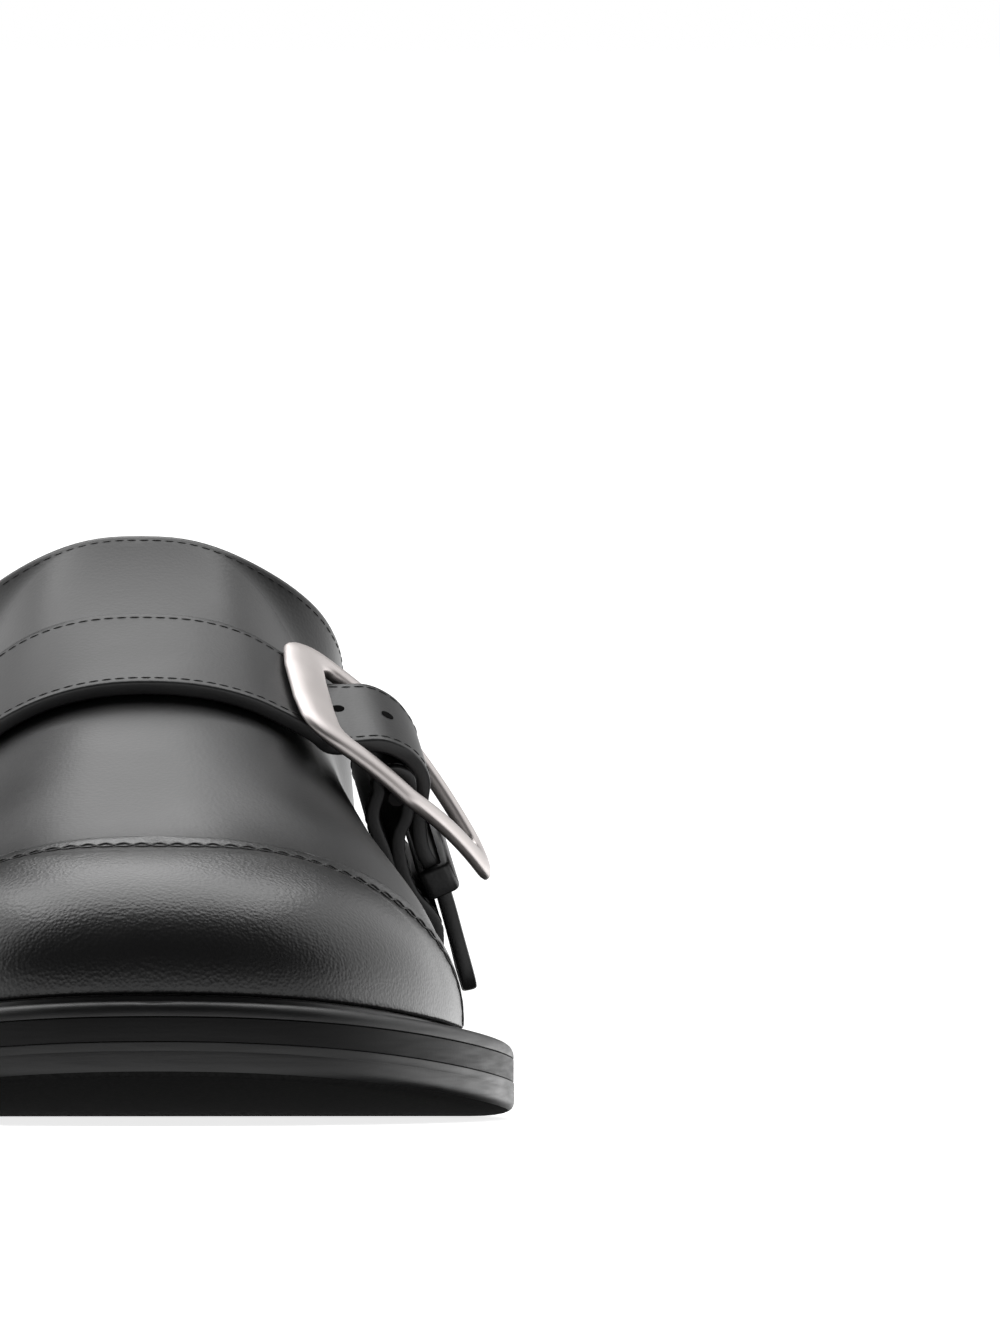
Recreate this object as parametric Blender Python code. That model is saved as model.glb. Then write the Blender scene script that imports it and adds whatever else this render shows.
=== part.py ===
"""Monk strap loafer for the left foot, standing on its sole.

The toe points along -Y, the buckle side along +X and +Z is up. The origin is on the floor, under the
middle of the sole. Sizes are in millimetres, and a station is the distance from the back of the heel along
the sole's axis. Points are worked out as (x from the axis, station, height) and turned into metres last.
"""

import math

import bmesh
import bpy
import numpy as np

MM = 0.001
GAP = 0.3  # how far apart pieces that meet are kept


def table(names, *rows):
    """The rows' columns by name."""
    return dict(zip(names.split(), np.array(rows, float).T))


# Sole: length, round ends, and layers from the floor up
SOLE_LENGTH = 300.0
HEEL_CENTRE = 42.0
TOE_CENTRE = 223.0
END_POWER = 2.2
HEEL_HEIGHT = 22.0
HEEL_BREAST = 64.0
FLAT_END = 212.0
TOE_SPRING = 6.8
OUTSOLE = 4.8
MIDSOLE = 3.0
WELT = 2.4
SOLE_STACK = OUTSOLE + GAP + MIDSOLE + GAP + WELT
LIP_RISE = 1.4
INSOLE_RISE = 1.6

# Half widths of the sole, seen from above
SOLE_PLAN = table(
    "station lateral medial",
    (42, 35.0, 35.0),
    (62, 35.0, 34.8),
    (90, 35.2, 33.8),
    (115, 36.2, 34.2),
    (140, 40.4, 38.0),
    (165, 46.6, 44.0),
    (190, 51.6, 49.4),
    (210, 53.6, 52.2),
    (223, 54.0, 53.0),
)

# Underside of the outsole over the heel, the arch and the flat of the forefoot
SOLE_PROFILE = table(
    "station bottom",
    (0, HEEL_HEIGHT),
    (66, HEEL_HEIGHT),
    (82, 19.4),
    (100, 13.6),
    (120, 7.2),
    (140, 2.6),
    (158, 0.4),
    (172, 0),
    (FLAT_END, 0),
)

# How far the upper stands in from the sole's edge
FEATHER = table("station inset", (0, 4.5), (90, 5.0), (160, 6.8), (223, 9.2), (300, 7.0))

# Upper: heights and fullness of its sections
# Behind the throat the ridge is the height that the sides aim at
WALL = 2.0
THROAT = 162.0
COLLAR_ARCH = 130.0
SEAM_SIDE = 241.0
SEAM_RIDGE = 257.0
LEAN_START = 196.0
FOOT_RISE = 1.9
FLARE_POWER = 4
TOE_ROUND = 3.0
TOE_FALL = 0.5
TOE_RISE_ROUND = 2.6

SECTIONS = table(
    "station ridge ridge_x lateral_bulge medial_bulge power",
    (0, 121, 0.0, 2.0, 2.0, 3.0),
    (42, 121, 0.0, 2.0, 2.0, 3.0),
    (90, 122, -0.8, 0.4, 1.4, 4.2),
    (130, 124, -1.8, -1.6, 0.4, 6.4),
    (142, 119, -2.3, -2.5, 1.2, 6.4),
    (162, 91.7, -2.5, -5.6, 2.0, 2.5),
    (182, 76.4, -2.0, -7.0, 0.4, 2.5),
    (204, 64.0, -1.2, -3.6, -0.8, 2.2),
    (227, 52.4, -0.6, 1.4, 0.6, 2.1),
    (242, 44.9, -0.2, 1.4, 0.8, 2.1),
    (249, 42.1, 0.0, 1.2, 0.8, 2.15),
    (257, 39.7, 0.0, 0.6, 0.6, 2.2),
)

# Height of the top edge
COLLAR = table(
    "station height",
    (4, 93),
    (25, 89),
    (55, 79.5),
    (85, 72.6),
    (110, 69),
    (130, 67.4),
    (141.3, 69.8),
    (145.8, 73.8),
    (149.6, 76.2),
    (154.2, 80.6),
    (158.2, 85.4),
    (160.8, 89.4),
    (162, 91.7),
)

# Steps of the mesh
HEEL_STEPS = 7
QUARTER_STEPS = 8
ARCH_STEPS = 8
VAMP_STEPS = 10
TOE_STEPS = 11
WALL_STEPS = 12
SOLE_SIDE_STEPS = 19
SOLE_END_STEPS = 9

CAP_THICK = 1.5

# Strap: its width runs down the instep at this slope, about a middle station
STRAP_SLOPE = math.radians(28)
STRAP_STATION = 193.0
STRAP_HEIGHT = 69.4
STRAP_THICK = 2.4
STRAP_OFF = 0.5
STRAP_HALF = 12.2
TAB_HALF = 8.8
TAB_FORWARD = 3.4
TAB_NECK = (1.36, 1.25, 1.2, 1.17, 1.12, 1.05)
TAB_POINT = (0.86, 0.5)
STRAP_COLUMNS = 6
BAND_ROWS = 11
FREE_ROWS = 3
STRAP_FOOT = math.radians(5)
STRAP_LEAVES = math.radians(67)

# Middle line of the strap's free end: across and up, in the plane square to the strap's width
TAB_LINE = table(
    "across up",
    (23.0, -5.3),
    (26.0, -8.2),
    (30.0, -8.6),
    (34.0, -8.7),
    (37.3, -10.3),
    (39.5, -12.6),
    (40.9, -15.7),
    (40.7, -19.4),
    (40.5, -23.6),
    (41.2, -28.2),
    (43.6, -32.8),
    (45.0, -36.8),
    (46.8, -43.6),
    (48.4, -49.6),
    (49.2, -52.8),
    (49.6, -54.9),
)

# Buckle: middle of its near bar and its tip in the same plane
BUCKLE_BAR = np.array((25.0, -3.7))
BUCKLE_TIP = np.array((53.8, -38.4))
BUCKLE_BOW = 2.7
BUCKLE_THICK = 2.3
CENTRE_ALONG = 16.5
CENTRE_RISE = 0.8
CENTRE_RADIUS = 1.4
CENTRE_HALF = 14.0

# Corners of the frame on one side, from the near bar to the tip: along, across, corner radius
FRAME_OUTER = ((-4.6, 6.0, 10.0), (-3.4, 17.2, 6.0), (17.0, 17.0, 6.0), (50.8, 0.0, 6.0))
FRAME_INNER = ((2.4, 5.0, 10.0), (2.8, 12.4, 3.0), (18.0, 12.4, 5.0), (40.4, 0.0, 2.0))
CORNER_STEPS = 5

# Section of the frame's rails, from the inner edge to the outer one, in half thicknesses
RAIL = table(
    "share rise",
    (0.0, -0.55),
    (0.0, 0.35),
    (0.22, 0.9),
    (0.5, 1.0),
    (0.8, 0.8),
    (1.0, 0.2),
    (1.0, -0.6),
    (0.85, -1.0),
    (0.15, -1.0),
)

# Buckle strap: it leaves the upper above this height and folds round the centre bar
BUCKLE_STRAP_THICK = 1.6
BUCKLE_STRAP_OFF = 0.5
BUCKLE_STRAP_HALF = 10.2
BUCKLE_STRAP_COLUMNS = 4
BUCKLE_STRAP_ROWS = 6
BUCKLE_STRAP_STATION = 172.0
BUCKLE_STRAP_FOOT = math.radians(4)
BUCKLE_STRAP_LEAVES = 37.0

# Its middle line below the centre bar, measured from the bar: the layer that rises and the end folded back
RISING_LINE = table("across up", (0.3, -17.5), (-1.1, -12.0), (-3.2, -5.5))
FOLDED_LINE = table(
    "across up",
    (2.2, -5.0),
    (0.9, -9.0),
    (1.4, -14.0),
    (3.3, -19.0),
    (7.0, -24.5),
    (7.4, -31.0),
)
FOLD_TURNS = np.radians((200, 160, 120, 80, 40, 0))

# Keeper round the hanging end of the strap, at this row of its middle line
KEEPER_THICK = 1.2
KEEPER_LONG = 5.0
KEEPER_PLAY = 0.4
KEEPER_ROW = 10
KEEPER_ROUND = (0.4, 1.2)


# Curves through the tables


def smooth(columns, name, at, by="station"):
    """A column between its rows, along a cubic that does not overshoot."""
    knots = columns[by]
    values = columns[name]
    at = min(max(at, knots[0]), knots[-1])
    steps = np.diff(knots)
    slopes = np.diff(values) / steps
    tangents = np.zeros(len(knots))
    tangents[0] = slopes[0]
    tangents[-1] = slopes[-1]
    for i in range(1, len(steps)):
        if slopes[i - 1] * slopes[i] > 0:
            tangents[i] = 2 * slopes[i - 1] * slopes[i] / (slopes[i - 1] + slopes[i])
    i = min(int(np.searchsorted(knots, at, side="right")) - 1, len(steps) - 1)
    t = (at - knots[i]) / steps[i]
    near = values[i] * (1 + 2 * t) * (1 - t) ** 2 + tangents[i] * steps[i] * t * (1 - t) ** 2
    far = values[i + 1] * t * t * (3 - 2 * t) + tangents[i + 1] * steps[i] * t * t * (t - 1)
    return near + far


def spline(rows, steps):
    """Points along a smooth line through the rows, with this many steps between two rows."""
    rows = np.array(rows, float)
    ends = np.concatenate([[2 * rows[0] - rows[1]], rows, [2 * rows[-1] - rows[-2]]])
    out = []
    for before, start, end, after in zip(ends, ends[1:], ends[2:], ends[3:]):
        for k in range(steps):
            t = k / steps
            bend = 2 * before - 5 * start + 4 * end - after
            twist = 3 * start - before - 3 * end + after
            out.append(start + 0.5 * (t * (end - before) + t * t * bend + t**3 * twist))
    out.append(rows[-1])
    return np.array(out)


def sole_bottom(station):
    if station > FLAT_END:
        return TOE_SPRING * ((station - FLAT_END) / (SOLE_LENGTH - FLAT_END)) ** 2
    return smooth(SOLE_PROFILE, "bottom", station)


def feather_inset(station):
    return smooth(FEATHER, "inset", station)


def half_width(side, station, inset):
    """Distance of the outline from the axis. inset gives how far it stands in from the sole's edge."""
    middle = min(max(station, HEEL_CENTRE), TOE_CENTRE)
    half = smooth(SOLE_PLAN, side, middle) - inset(middle)
    if station < HEEL_CENTRE:
        along = (HEEL_CENTRE - station) / (HEEL_CENTRE - inset(0))
    else:
        along = (station - middle) / (SOLE_LENGTH - inset(SOLE_LENGTH) - TOE_CENTRE)
    return half * max(0.0, 1 - along**END_POWER) ** (1 / END_POWER)


def heel_station(turn, inset):
    """Station at an angle round the heel: 0 is its back and a right angle its widest part."""
    return HEEL_CENTRE - (HEEL_CENTRE - inset(0)) * math.cos(turn) ** (2 / END_POWER)


def toe_station(turn, inset):
    """Station at an angle round the toe: 0 is its widest part and a right angle its tip."""
    reach = SOLE_LENGTH - inset(SOLE_LENGTH) - TOE_CENTRE
    return TOE_CENTRE + reach * math.sin(turn) ** (2 / END_POWER)


# Meshes


def merged(points, faces):
    """Points that coincide made one, without the faces that this closes up."""
    points = np.array(points, float)
    _, first, index = np.unique(np.round(points, 4), axis=0, return_index=True, return_inverse=True)
    index = index.reshape(-1)
    kept = []
    for face in faces:
        corners = []
        for i in face:
            if index[i] not in corners:
                corners.append(int(index[i]))
        if len(corners) > 2:
            kept.append(tuple(corners))
    return points[first], kept, index


def grid_faces(rows, columns):
    faces = []
    for r in range(rows - 1):
        for c in range(columns - 1):
            i = r * columns + c
            faces.append((i, i + 1, i + columns + 1, i + columns))
    return faces


def surface_normals(points, faces):
    normals = np.zeros_like(points)
    for face in faces:
        corners = points[list(face)]
        area = np.zeros(3)
        for k in range(1, len(face) - 1):
            area += np.cross(corners[k] - corners[0], corners[k + 1] - corners[0])
        normals[list(face)] += area
    return normals / np.linalg.norm(normals, axis=1)[:, None]


def skin(points, faces, normals, low, high):
    """A closed wall between two offsets of a surface."""
    count = len(points)
    both = np.vstack([points + normals * low, points + normals * high])
    edges = set()
    out = []
    for face in faces:
        out.append(tuple(reversed(face)))
        out.append(tuple(i + count for i in face))
        edges.update(zip(face, face[1:] + face[:1]))
    for a, b in edges:
        if (b, a) not in edges:
            out.append((a, b, b + count, a + count))
    return both, out


AXIS_X = (SOLE_PLAN["medial"].max() - SOLE_PLAN["lateral"].max()) / 2


def make(name, points, faces, colour, roughness, metallic=0.0):
    """A smooth-shaded object, with the shoe's axis moved so that the sole is centred."""
    points = np.array(points, float)
    world = np.stack([points[:, 0] + AXIS_X, SOLE_LENGTH / 2 - points[:, 1], points[:, 2]], axis=1) * MM
    mesh = bpy.data.meshes.new(name)
    mesh.from_pydata(world.tolist(), [], faces)
    work = bmesh.new()
    work.from_mesh(mesh)
    bmesh.ops.remove_doubles(work, verts=work.verts, dist=1e-6)
    bmesh.ops.recalc_face_normals(work, faces=work.faces)
    work.to_mesh(mesh)
    work.free()
    mesh.shade_smooth()
    mesh.set_sharp_from_angle(angle=math.radians(38))
    surface = bpy.data.materials.new(name)
    surface.use_nodes = True
    shader = surface.node_tree.nodes["Principled BSDF"]
    shader.inputs["Base Color"].default_value = (*colour, 1)
    shader.inputs["Roughness"].default_value = roughness
    shader.inputs["Metallic"].default_value = metallic
    mesh.materials.append(surface)
    made = bpy.data.objects.new(name, mesh)
    bpy.context.scene.collection.objects.link(made)
    return made


BLACK_LEATHER = (0.012, 0.012, 0.013)
BLACK_EDGE = (0.010, 0.010, 0.011)
TAN_BOARD = (0.09, 0.07, 0.055)
NICKEL = (0.62, 0.58, 0.56)


# Sole


def sole_stations(inset, last=None):
    turns = [math.pi / 2 * i / SOLE_END_STEPS for i in range(SOLE_END_STEPS)]
    stations = [heel_station(turn, inset) for turn in turns]
    if last is not None:
        return stations + list(np.linspace(HEEL_CENTRE, last, 5))
    stations += list(np.linspace(HEEL_CENTRE, TOE_CENTRE, SOLE_SIDE_STEPS))
    stations += [toe_station(math.pi / 2 - turn, inset) for turn in reversed(turns)]
    return stations


def sole_ring(inset, height, stations):
    """One closed loop round the sole: forward along the lateral side and back along the medial one."""
    lateral = [(half_width("lateral", s, inset), s, height(s)) for s in stations]
    medial = [(-half_width("medial", s, inset), s, height(s)) for s in stations]
    return lateral + medial[::-1]


def loop_faces(loops, size, closed):
    faces = []
    pairs = list(zip(range(loops), range(1, loops)))
    if closed:
        pairs.append((loops - 1, 0))
    for low, high in pairs:
        for i in range(size):
            k = (i + 1) % size
            faces.append((low * size + i, low * size + k, high * size + k, high * size + i))
    return faces


def plate(name, levels, base, colour, last=None):
    """A plate with the sole's outline: levels are (inset, height by station), from the bottom up."""
    points = []
    for inset, rise in levels:
        edge = lambda s, inset=inset: base(s) + inset
        stations = sole_stations(edge, last)
        points += sole_ring(edge, rise, stations)
    rows = len(stations)
    size = 2 * rows
    faces = loop_faces(len(levels), size, False)
    for start in (0, (len(levels) - 1) * size):
        for i in range(rows - 1):
            faces.append((start + i, start + i + 1, start + size - 2 - i, start + size - 1 - i))
    points, faces, _ = merged(points, faces)
    return make(name, points, faces, colour, 0.5)


def above(rise):
    return lambda s: sole_bottom(s) + rise


def sole_edge(station):
    return 0.0


def build_sole():
    top = HEEL_HEIGHT - GAP
    heel_levels = [(2.6, 0.0), (1.8, 0.8), (1.0, top - 0.6), (1.3, top)]
    plate("heel", [(d, lambda s, z=z: z) for d, z in heel_levels], sole_edge, BLACK_EDGE, HEEL_BREAST)
    outsole_levels = [(6.4, 0.0), (2.4, 0.6), (0.5, 1.7), (0.0, 3.2), (0.35, OUTSOLE)]
    plate("outsole", [(d, above(z)) for d, z in outsole_levels], sole_edge, BLACK_EDGE)
    low = OUTSOLE + GAP
    high = low + MIDSOLE
    midsole_levels = [(0.45, low), (0.1, low + 0.6), (0.1, high - 0.6), (0.45, high)]
    plate("midsole", [(d, above(z)) for d, z in midsole_levels], sole_edge, BLACK_EDGE)
    low = SOLE_STACK - WELT
    high = SOLE_STACK + INSOLE_RISE
    insole_levels = [(2.8, low), (2.8, high - 0.5), (3.3, high)]
    plate("insole", [(d, above(z)) for d, z in insole_levels], feather_inset, TAN_BOARD)
    build_welt(low)


def build_welt(low):
    """A strip round the edge, with a lip that stands up against the upper."""
    top = low + WELT
    outside = [(0.4, low), (0.0, low + 0.4), (0.3, top - 1.1), (1.0, top - 0.3), (2.0, top)]
    lip = top + LIP_RISE
    inside = [(-1.9, top), (-1.8, lip - 0.3), (-1.3, lip), (-0.5, lip - 0.2)]
    inside += [(-0.5, top), (2.4, top), (2.4, low)]
    loops = [((lambda s, d=d: d), z) for d, z in outside]
    loops += [((lambda s, d=d: feather_inset(s) + d), z) for d, z in inside]
    points = []
    for inset, rise in loops:
        stations = sole_stations(inset)
        points += sole_ring(inset, above(rise), stations)
    faces = loop_faces(len(loops), 2 * len(stations), True)
    points, faces, _ = merged(points, faces)
    make("welt", points, faces, BLACK_EDGE, 0.45)


# Upper


def ease(t):
    t = min(max(t, 0.0), 1.0)
    return t * t * (3 - 2 * t)


class Ray:
    """A line over the upper's surface, from its lower edge up to the ridge that its side aims at."""

    def __init__(self, side, station):
        sign = 1 if side == "lateral" else -1
        foot = np.array((sign * half_width(side, station, feather_inset), station))
        if station < HEEL_CENTRE:
            target = HEEL_CENTRE
        elif station > SEAM_SIDE:
            target = SEAM_RIDGE
        else:
            lean = ease((station - LEAN_START) / (SEAM_SIDE - LEAN_START))
            target = station + (SEAM_RIDGE - SEAM_SIDE) * lean
        top = np.array((smooth(SECTIONS, "ridge_x", target), target))
        toe = max(0.0, (station - SEAM_SIDE) / (SOLE_LENGTH - SEAM_SIDE))
        self.sweep = 2 - ease(3 * toe)
        self.station = station
        self.top = top
        self.reach = float(np.linalg.norm(foot - top))
        self.away = (foot - top) / self.reach
        self.foot_height = sole_bottom(station) + SOLE_STACK + GAP
        self.top_height = float(smooth(SECTIONS, "ridge", target))
        slope = smooth(SECTIONS, "ridge", target - 1) - smooth(SECTIONS, "ridge", target)
        fall = float(slope * self.away[1]) * (1 - (1 - TOE_FALL) * ease(3 * toe))
        self.fall = 0.0 if station <= THROAT else fall
        self.bulge = smooth(SECTIONS, side + "_bulge", station)
        power = smooth(SECTIONS, "power", station)
        self.power = power + (TOE_ROUND - power) * ease(1.6 * toe)
        self.rise_power = 2 + (TOE_RISE_ROUND - 2) * ease(1.6 * toe)

    def point(self, turn):
        """Point at an angle from 0 at the lower edge to a right angle at the ridge."""
        up = max(0.0, math.sin(turn)) ** (2 / self.rise_power)
        in_by = max(0.0, math.cos(turn)) ** (2 / self.power)
        out = (self.reach + self.bulge) * in_by - self.bulge * (1 - up) ** FLARE_POWER
        swept = self.reach * max(out / self.reach, 0.0) ** self.sweep
        height = self.foot_height + (self.top_height - self.foot_height - self.fall * swept) * up
        x = self.top[0] + self.away[0] * out
        station = self.top[1] + self.away[1] * swept
        return np.array((x, station, height))

    def turn_at(self, height):
        """Angle at a height, found by halving."""
        low = 0.0
        high = math.pi / 2
        for _ in range(40):
            middle = (low + high) / 2
            if self.point(middle)[2] < height:
                low = middle
            else:
                high = middle
        return low

    def end(self):
        if self.station >= THROAT - 1e-6:
            return math.pi / 2
        return self.turn_at(smooth(COLLAR, "height", self.station))


def upper_stations():
    turns = [math.pi / 2 * i / HEEL_STEPS for i in range(HEEL_STEPS)]
    stations = [heel_station(turn, feather_inset) for turn in turns]
    stations += list(np.linspace(HEEL_CENTRE, COLLAR_ARCH, QUARTER_STEPS, endpoint=False))
    turns = [math.pi / 2 * i / ARCH_STEPS for i in range(ARCH_STEPS)]
    stations += [COLLAR_ARCH + (THROAT - COLLAR_ARCH) * math.sin(turn) for turn in turns]
    stations += list(np.linspace(THROAT, SEAM_SIDE, VAMP_STEPS + 1))
    reach = toe_station(math.pi / 2, feather_inset) - TOE_CENTRE
    seam_turn = math.asin(((SEAM_SIDE - TOE_CENTRE) / reach) ** (END_POWER / 2))
    turns = np.linspace(seam_turn, math.pi / 2, TOE_STEPS + 1)[1:]
    return stations + [toe_station(turn, feather_inset) for turn in turns]


def upper_surface():
    """Points, faces and outward normals of the upper's outside, and the row of each face's ray."""
    stations = upper_stations()
    points = []
    faces = []
    places = []
    for side in ("medial", "lateral"):
        start = len(points)
        for station in stations:
            ray = Ray(side, station)
            end = ray.end()
            first = ray.turn_at(ray.foot_height + FOOT_RISE)
            turns = [0.0] + list(np.linspace(first, end, WALL_STEPS))
            points += [ray.point(turn) for turn in turns]
        for face in grid_faces(len(stations), WALL_STEPS + 1):
            row, column = divmod(face[0], WALL_STEPS + 1)
            places.append((row, column))
            face = tuple(i + start for i in face)
            faces.append(face if side == "lateral" else face[::-1])
    points = np.array(points)
    _, _, index = merged(points, faces)
    points, kept, _ = merged(points, faces)
    normals = surface_normals(points, kept)
    middle = np.array((0.0, SOLE_LENGTH / 2, SOLE_STACK))
    if np.sum((points - middle) * normals) < 0:
        normals = -normals
    foot = index[:: WALL_STEPS + 1]
    normals[foot, 2] = 0.0
    normals[foot] /= np.linalg.norm(normals[foot], axis=1)[:, None]
    seam_row = stations.index(SEAM_SIDE)
    cap = [f for f, (row, column) in zip(faces, places) if row >= seam_row and column >= 1]
    cap = [tuple(dict.fromkeys(int(index[i]) for i in f)) for f in cap]
    return points, kept, normals, cap


def build_upper():
    points, faces, normals, cap = upper_surface()
    make("upper", *skin(points, faces, normals, -WALL, 0.0), BLACK_LEATHER, 0.4)
    used = sorted({i for face in cap for i in face})
    place = {old: new for new, old in enumerate(used)}
    cap = [tuple(place[i] for i in face) for face in cap]
    make("toe_cap", *skin(points[used], cap, normals[used], GAP, GAP + CAP_THICK), BLACK_LEATHER, 0.35)


# Strap and buckle

WIDTH_WAY = np.array((0.0, math.cos(STRAP_SLOPE), -math.sin(STRAP_SLOPE)))
STRAP_MIDDLE = np.array((0.0, STRAP_STATION, STRAP_HEIGHT))
TAB_WIDTH_WAY = np.array((0.10, 0.878, -0.468))
TAB_WIDTH_WAY = TAB_WIDTH_WAY / np.linalg.norm(TAB_WIDTH_WAY)
TAB_UP = np.array((0.0, math.sin(STRAP_SLOPE), math.cos(STRAP_SLOPE)))
TAB_UP = TAB_UP - TAB_WIDTH_WAY * TAB_UP.dot(TAB_WIDTH_WAY)
TAB_UP = TAB_UP / np.linalg.norm(TAB_UP)
TAB_ACROSS = np.cross(TAB_WIDTH_WAY, TAB_UP)
TAB_MIDDLE = STRAP_MIDDLE + TAB_FORWARD * WIDTH_WAY


def on_upper(side, turn, width, off):
    """A point this far off the upper, on the line of the strap this far from its middle."""
    low = COLLAR_ARCH
    high = SEAM_SIDE
    for _ in range(40):
        station = (low + high) / 2
        point = Ray(side, station).point(turn)
        if WIDTH_WAY.dot(point - STRAP_MIDDLE) < width:
            low = station
        else:
            high = station
    step = 0.01
    lower = Ray(side, station).point(turn - step)
    upper = Ray(side, station).point(min(turn + step, math.pi / 2))
    along = Ray(side, station + 0.5).point(turn) - Ray(side, station - 0.5).point(turn)
    normal = np.cross(upper - lower, along)
    if side == "lateral":
        normal = -normal
    normal = normal / np.linalg.norm(normal)
    return point + normal * off


def in_tab(across, up, width):
    return TAB_MIDDLE + TAB_ACROSS * across + TAB_UP * up + TAB_WIDTH_WAY * width


def widths(half, columns=STRAP_COLUMNS):
    return np.linspace(-half, half, columns)


def ribbon(name, rows, thick, colour):
    """A band through rows of points across its width."""
    rows = np.array(rows)
    points = rows.reshape(-1, 3)
    faces = grid_faces(len(rows), rows.shape[1])
    normals = surface_normals(points, faces)
    return make(name, *skin(points, faces, normals, -thick / 2, thick / 2), colour, 0.4)


def build_strap():
    off = STRAP_OFF + STRAP_THICK / 2
    rows = []
    for turn in np.linspace(STRAP_FOOT, math.pi / 2, BAND_ROWS, endpoint=False):
        rows.append([on_upper("medial", turn, w, off) for w in widths(STRAP_HALF)])
    for turn in np.linspace(math.pi / 2, STRAP_LEAVES, BAND_ROWS // 2):
        rows.append([on_upper("lateral", turn, w, off) for w in widths(STRAP_HALF)])
    free = [rows[-2], rows[-1]]
    plain = len(TAB_LINE["up"]) - len(TAB_NECK) - len(TAB_POINT)
    shares = [*TAB_NECK, *[1.0] * plain, *TAB_POINT]
    for across, up, share in zip(TAB_LINE["across"], TAB_LINE["up"], shares):
        free.append([in_tab(across, up, w) for w in widths(TAB_HALF * share)])
    rows += list(spline(free, FREE_ROWS)[FREE_ROWS + 1 :])
    ribbon("strap", rows, STRAP_THICK, BLACK_LEATHER)


BUCKLE_WAY = (BUCKLE_TIP - BUCKLE_BAR) / np.linalg.norm(BUCKLE_TIP - BUCKLE_BAR)
BUCKLE_OUT = np.array((-BUCKLE_WAY[1], BUCKLE_WAY[0]))
BUCKLE_LONG = float(np.linalg.norm(BUCKLE_TIP - BUCKLE_BAR))
CENTRE_BAR = BUCKLE_BAR + BUCKLE_WAY * CENTRE_ALONG + BUCKLE_OUT * CENTRE_RISE


def in_buckle(along, width, rise):
    """A point of the frame, whose face is bowed outward along its length."""
    share = along / BUCKLE_LONG
    bow = 4 * BUCKLE_BOW * share * (1 - share)
    flat = BUCKLE_BAR + BUCKLE_WAY * along + BUCKLE_OUT * (rise + bow)
    return in_tab(flat[0], flat[1], width)


def both_sides(corners):
    """Corners of one side and their mirror images, in one loop round the tip."""
    mirrored = [(along, -across, radius) for along, across, radius in corners]
    return mirrored + list(reversed(corners[:-1]))


def rounded(corners):
    """A closed line round the corners, each with its own radius."""
    out = []
    for i, (x, y, radius) in enumerate(corners):
        here = np.array((x, y))
        before = np.array(corners[i - 1][:2]) - here
        after = np.array(corners[(i + 1) % len(corners)][:2]) - here
        before /= np.linalg.norm(before)
        after /= np.linalg.norm(after)
        half_angle = math.acos(before.dot(after)) / 2
        trim = radius / math.tan(half_angle)
        start = here + before * trim
        end = here + after * trim
        inward = (before + after) / np.linalg.norm(before + after)
        centre = here + inward * radius / math.sin(half_angle)
        for t in np.linspace(0, 1, CORNER_STEPS):
            arm = (start - centre) * (1 - t) + (end - centre) * t
            out.append(centre + arm / np.linalg.norm(arm) * radius)
    return np.array(out)


def build_buckle():
    outer = rounded(both_sides(FRAME_OUTER))
    inner = rounded(both_sides(FRAME_INNER))
    half = BUCKLE_THICK / 2
    section = list(zip(RAIL["share"], RAIL["rise"]))
    points = []
    for a, b in zip(inner, outer):
        for share, rise in section:
            along, width = a + (b - a) * share
            points.append(in_buckle(along, width, rise * half))
    count = len(section)
    faces = []
    for i in range(len(outer)):
        k = (i + 1) % len(outer)
        for c in range(count):
            d = (c + 1) % count
            faces.append((i * count + c, i * count + d, k * count + d, k * count + c))
    frame = make("buckle_frame", points, faces, NICKEL, 0.3, 1.0)
    bar = make("centre_bar", *rod(CENTRE_RADIUS, CENTRE_HALF), NICKEL, 0.3, 1.0)
    bar.hide_render = True
    bar.display_type = "WIRE"
    join = frame.modifiers.new("centre bar", "BOOLEAN")
    join.operation = "UNION"
    join.solver = "EXACT"
    join.object = bar


def rod(radius, half, sides=14):
    """The round bar across the middle of the frame."""
    points = []
    for width in (-half, half):
        for turn in np.linspace(0, 2 * math.pi, sides, endpoint=False):
            across, up = CENTRE_BAR + radius * np.array((math.cos(turn), math.sin(turn)))
            points.append(in_tab(across, up, width))
    faces = loop_faces(2, sides, False)
    faces += [tuple(range(sides)), tuple(range(sides, 2 * sides))]
    return points, faces


def build_buckle_strap():
    """A band up the side of the upper that folds round the centre bar, with its end behind the strap."""
    off = BUCKLE_STRAP_OFF + BUCKLE_STRAP_THICK / 2
    places = widths(BUCKLE_STRAP_HALF, BUCKLE_STRAP_COLUMNS)
    top = Ray("lateral", BUCKLE_STRAP_STATION).turn_at(BUCKLE_STRAP_LEAVES)
    rows = []
    for turn in np.linspace(BUCKLE_STRAP_FOOT, top, BUCKLE_STRAP_ROWS):
        rows.append([on_upper("lateral", turn, w, off) for w in places])
    reach = CENTRE_RADIUS + GAP + BUCKLE_STRAP_THICK / 2
    line = list(zip(RISING_LINE["across"], RISING_LINE["up"]))
    line += [(reach * math.cos(turn), reach * math.sin(turn)) for turn in FOLD_TURNS]
    line += list(zip(FOLDED_LINE["across"], FOLDED_LINE["up"]))
    free = [rows[-2], rows[-1]]
    for across, up in line:
        free.append([in_tab(CENTRE_BAR[0] + across, CENTRE_BAR[1] + up, w) for w in places])
    rows += list(spline(free, FREE_ROWS)[FREE_ROWS + 1 :])
    ribbon("buckle_strap", rows, BUCKLE_STRAP_THICK, BLACK_LEATHER)


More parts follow.
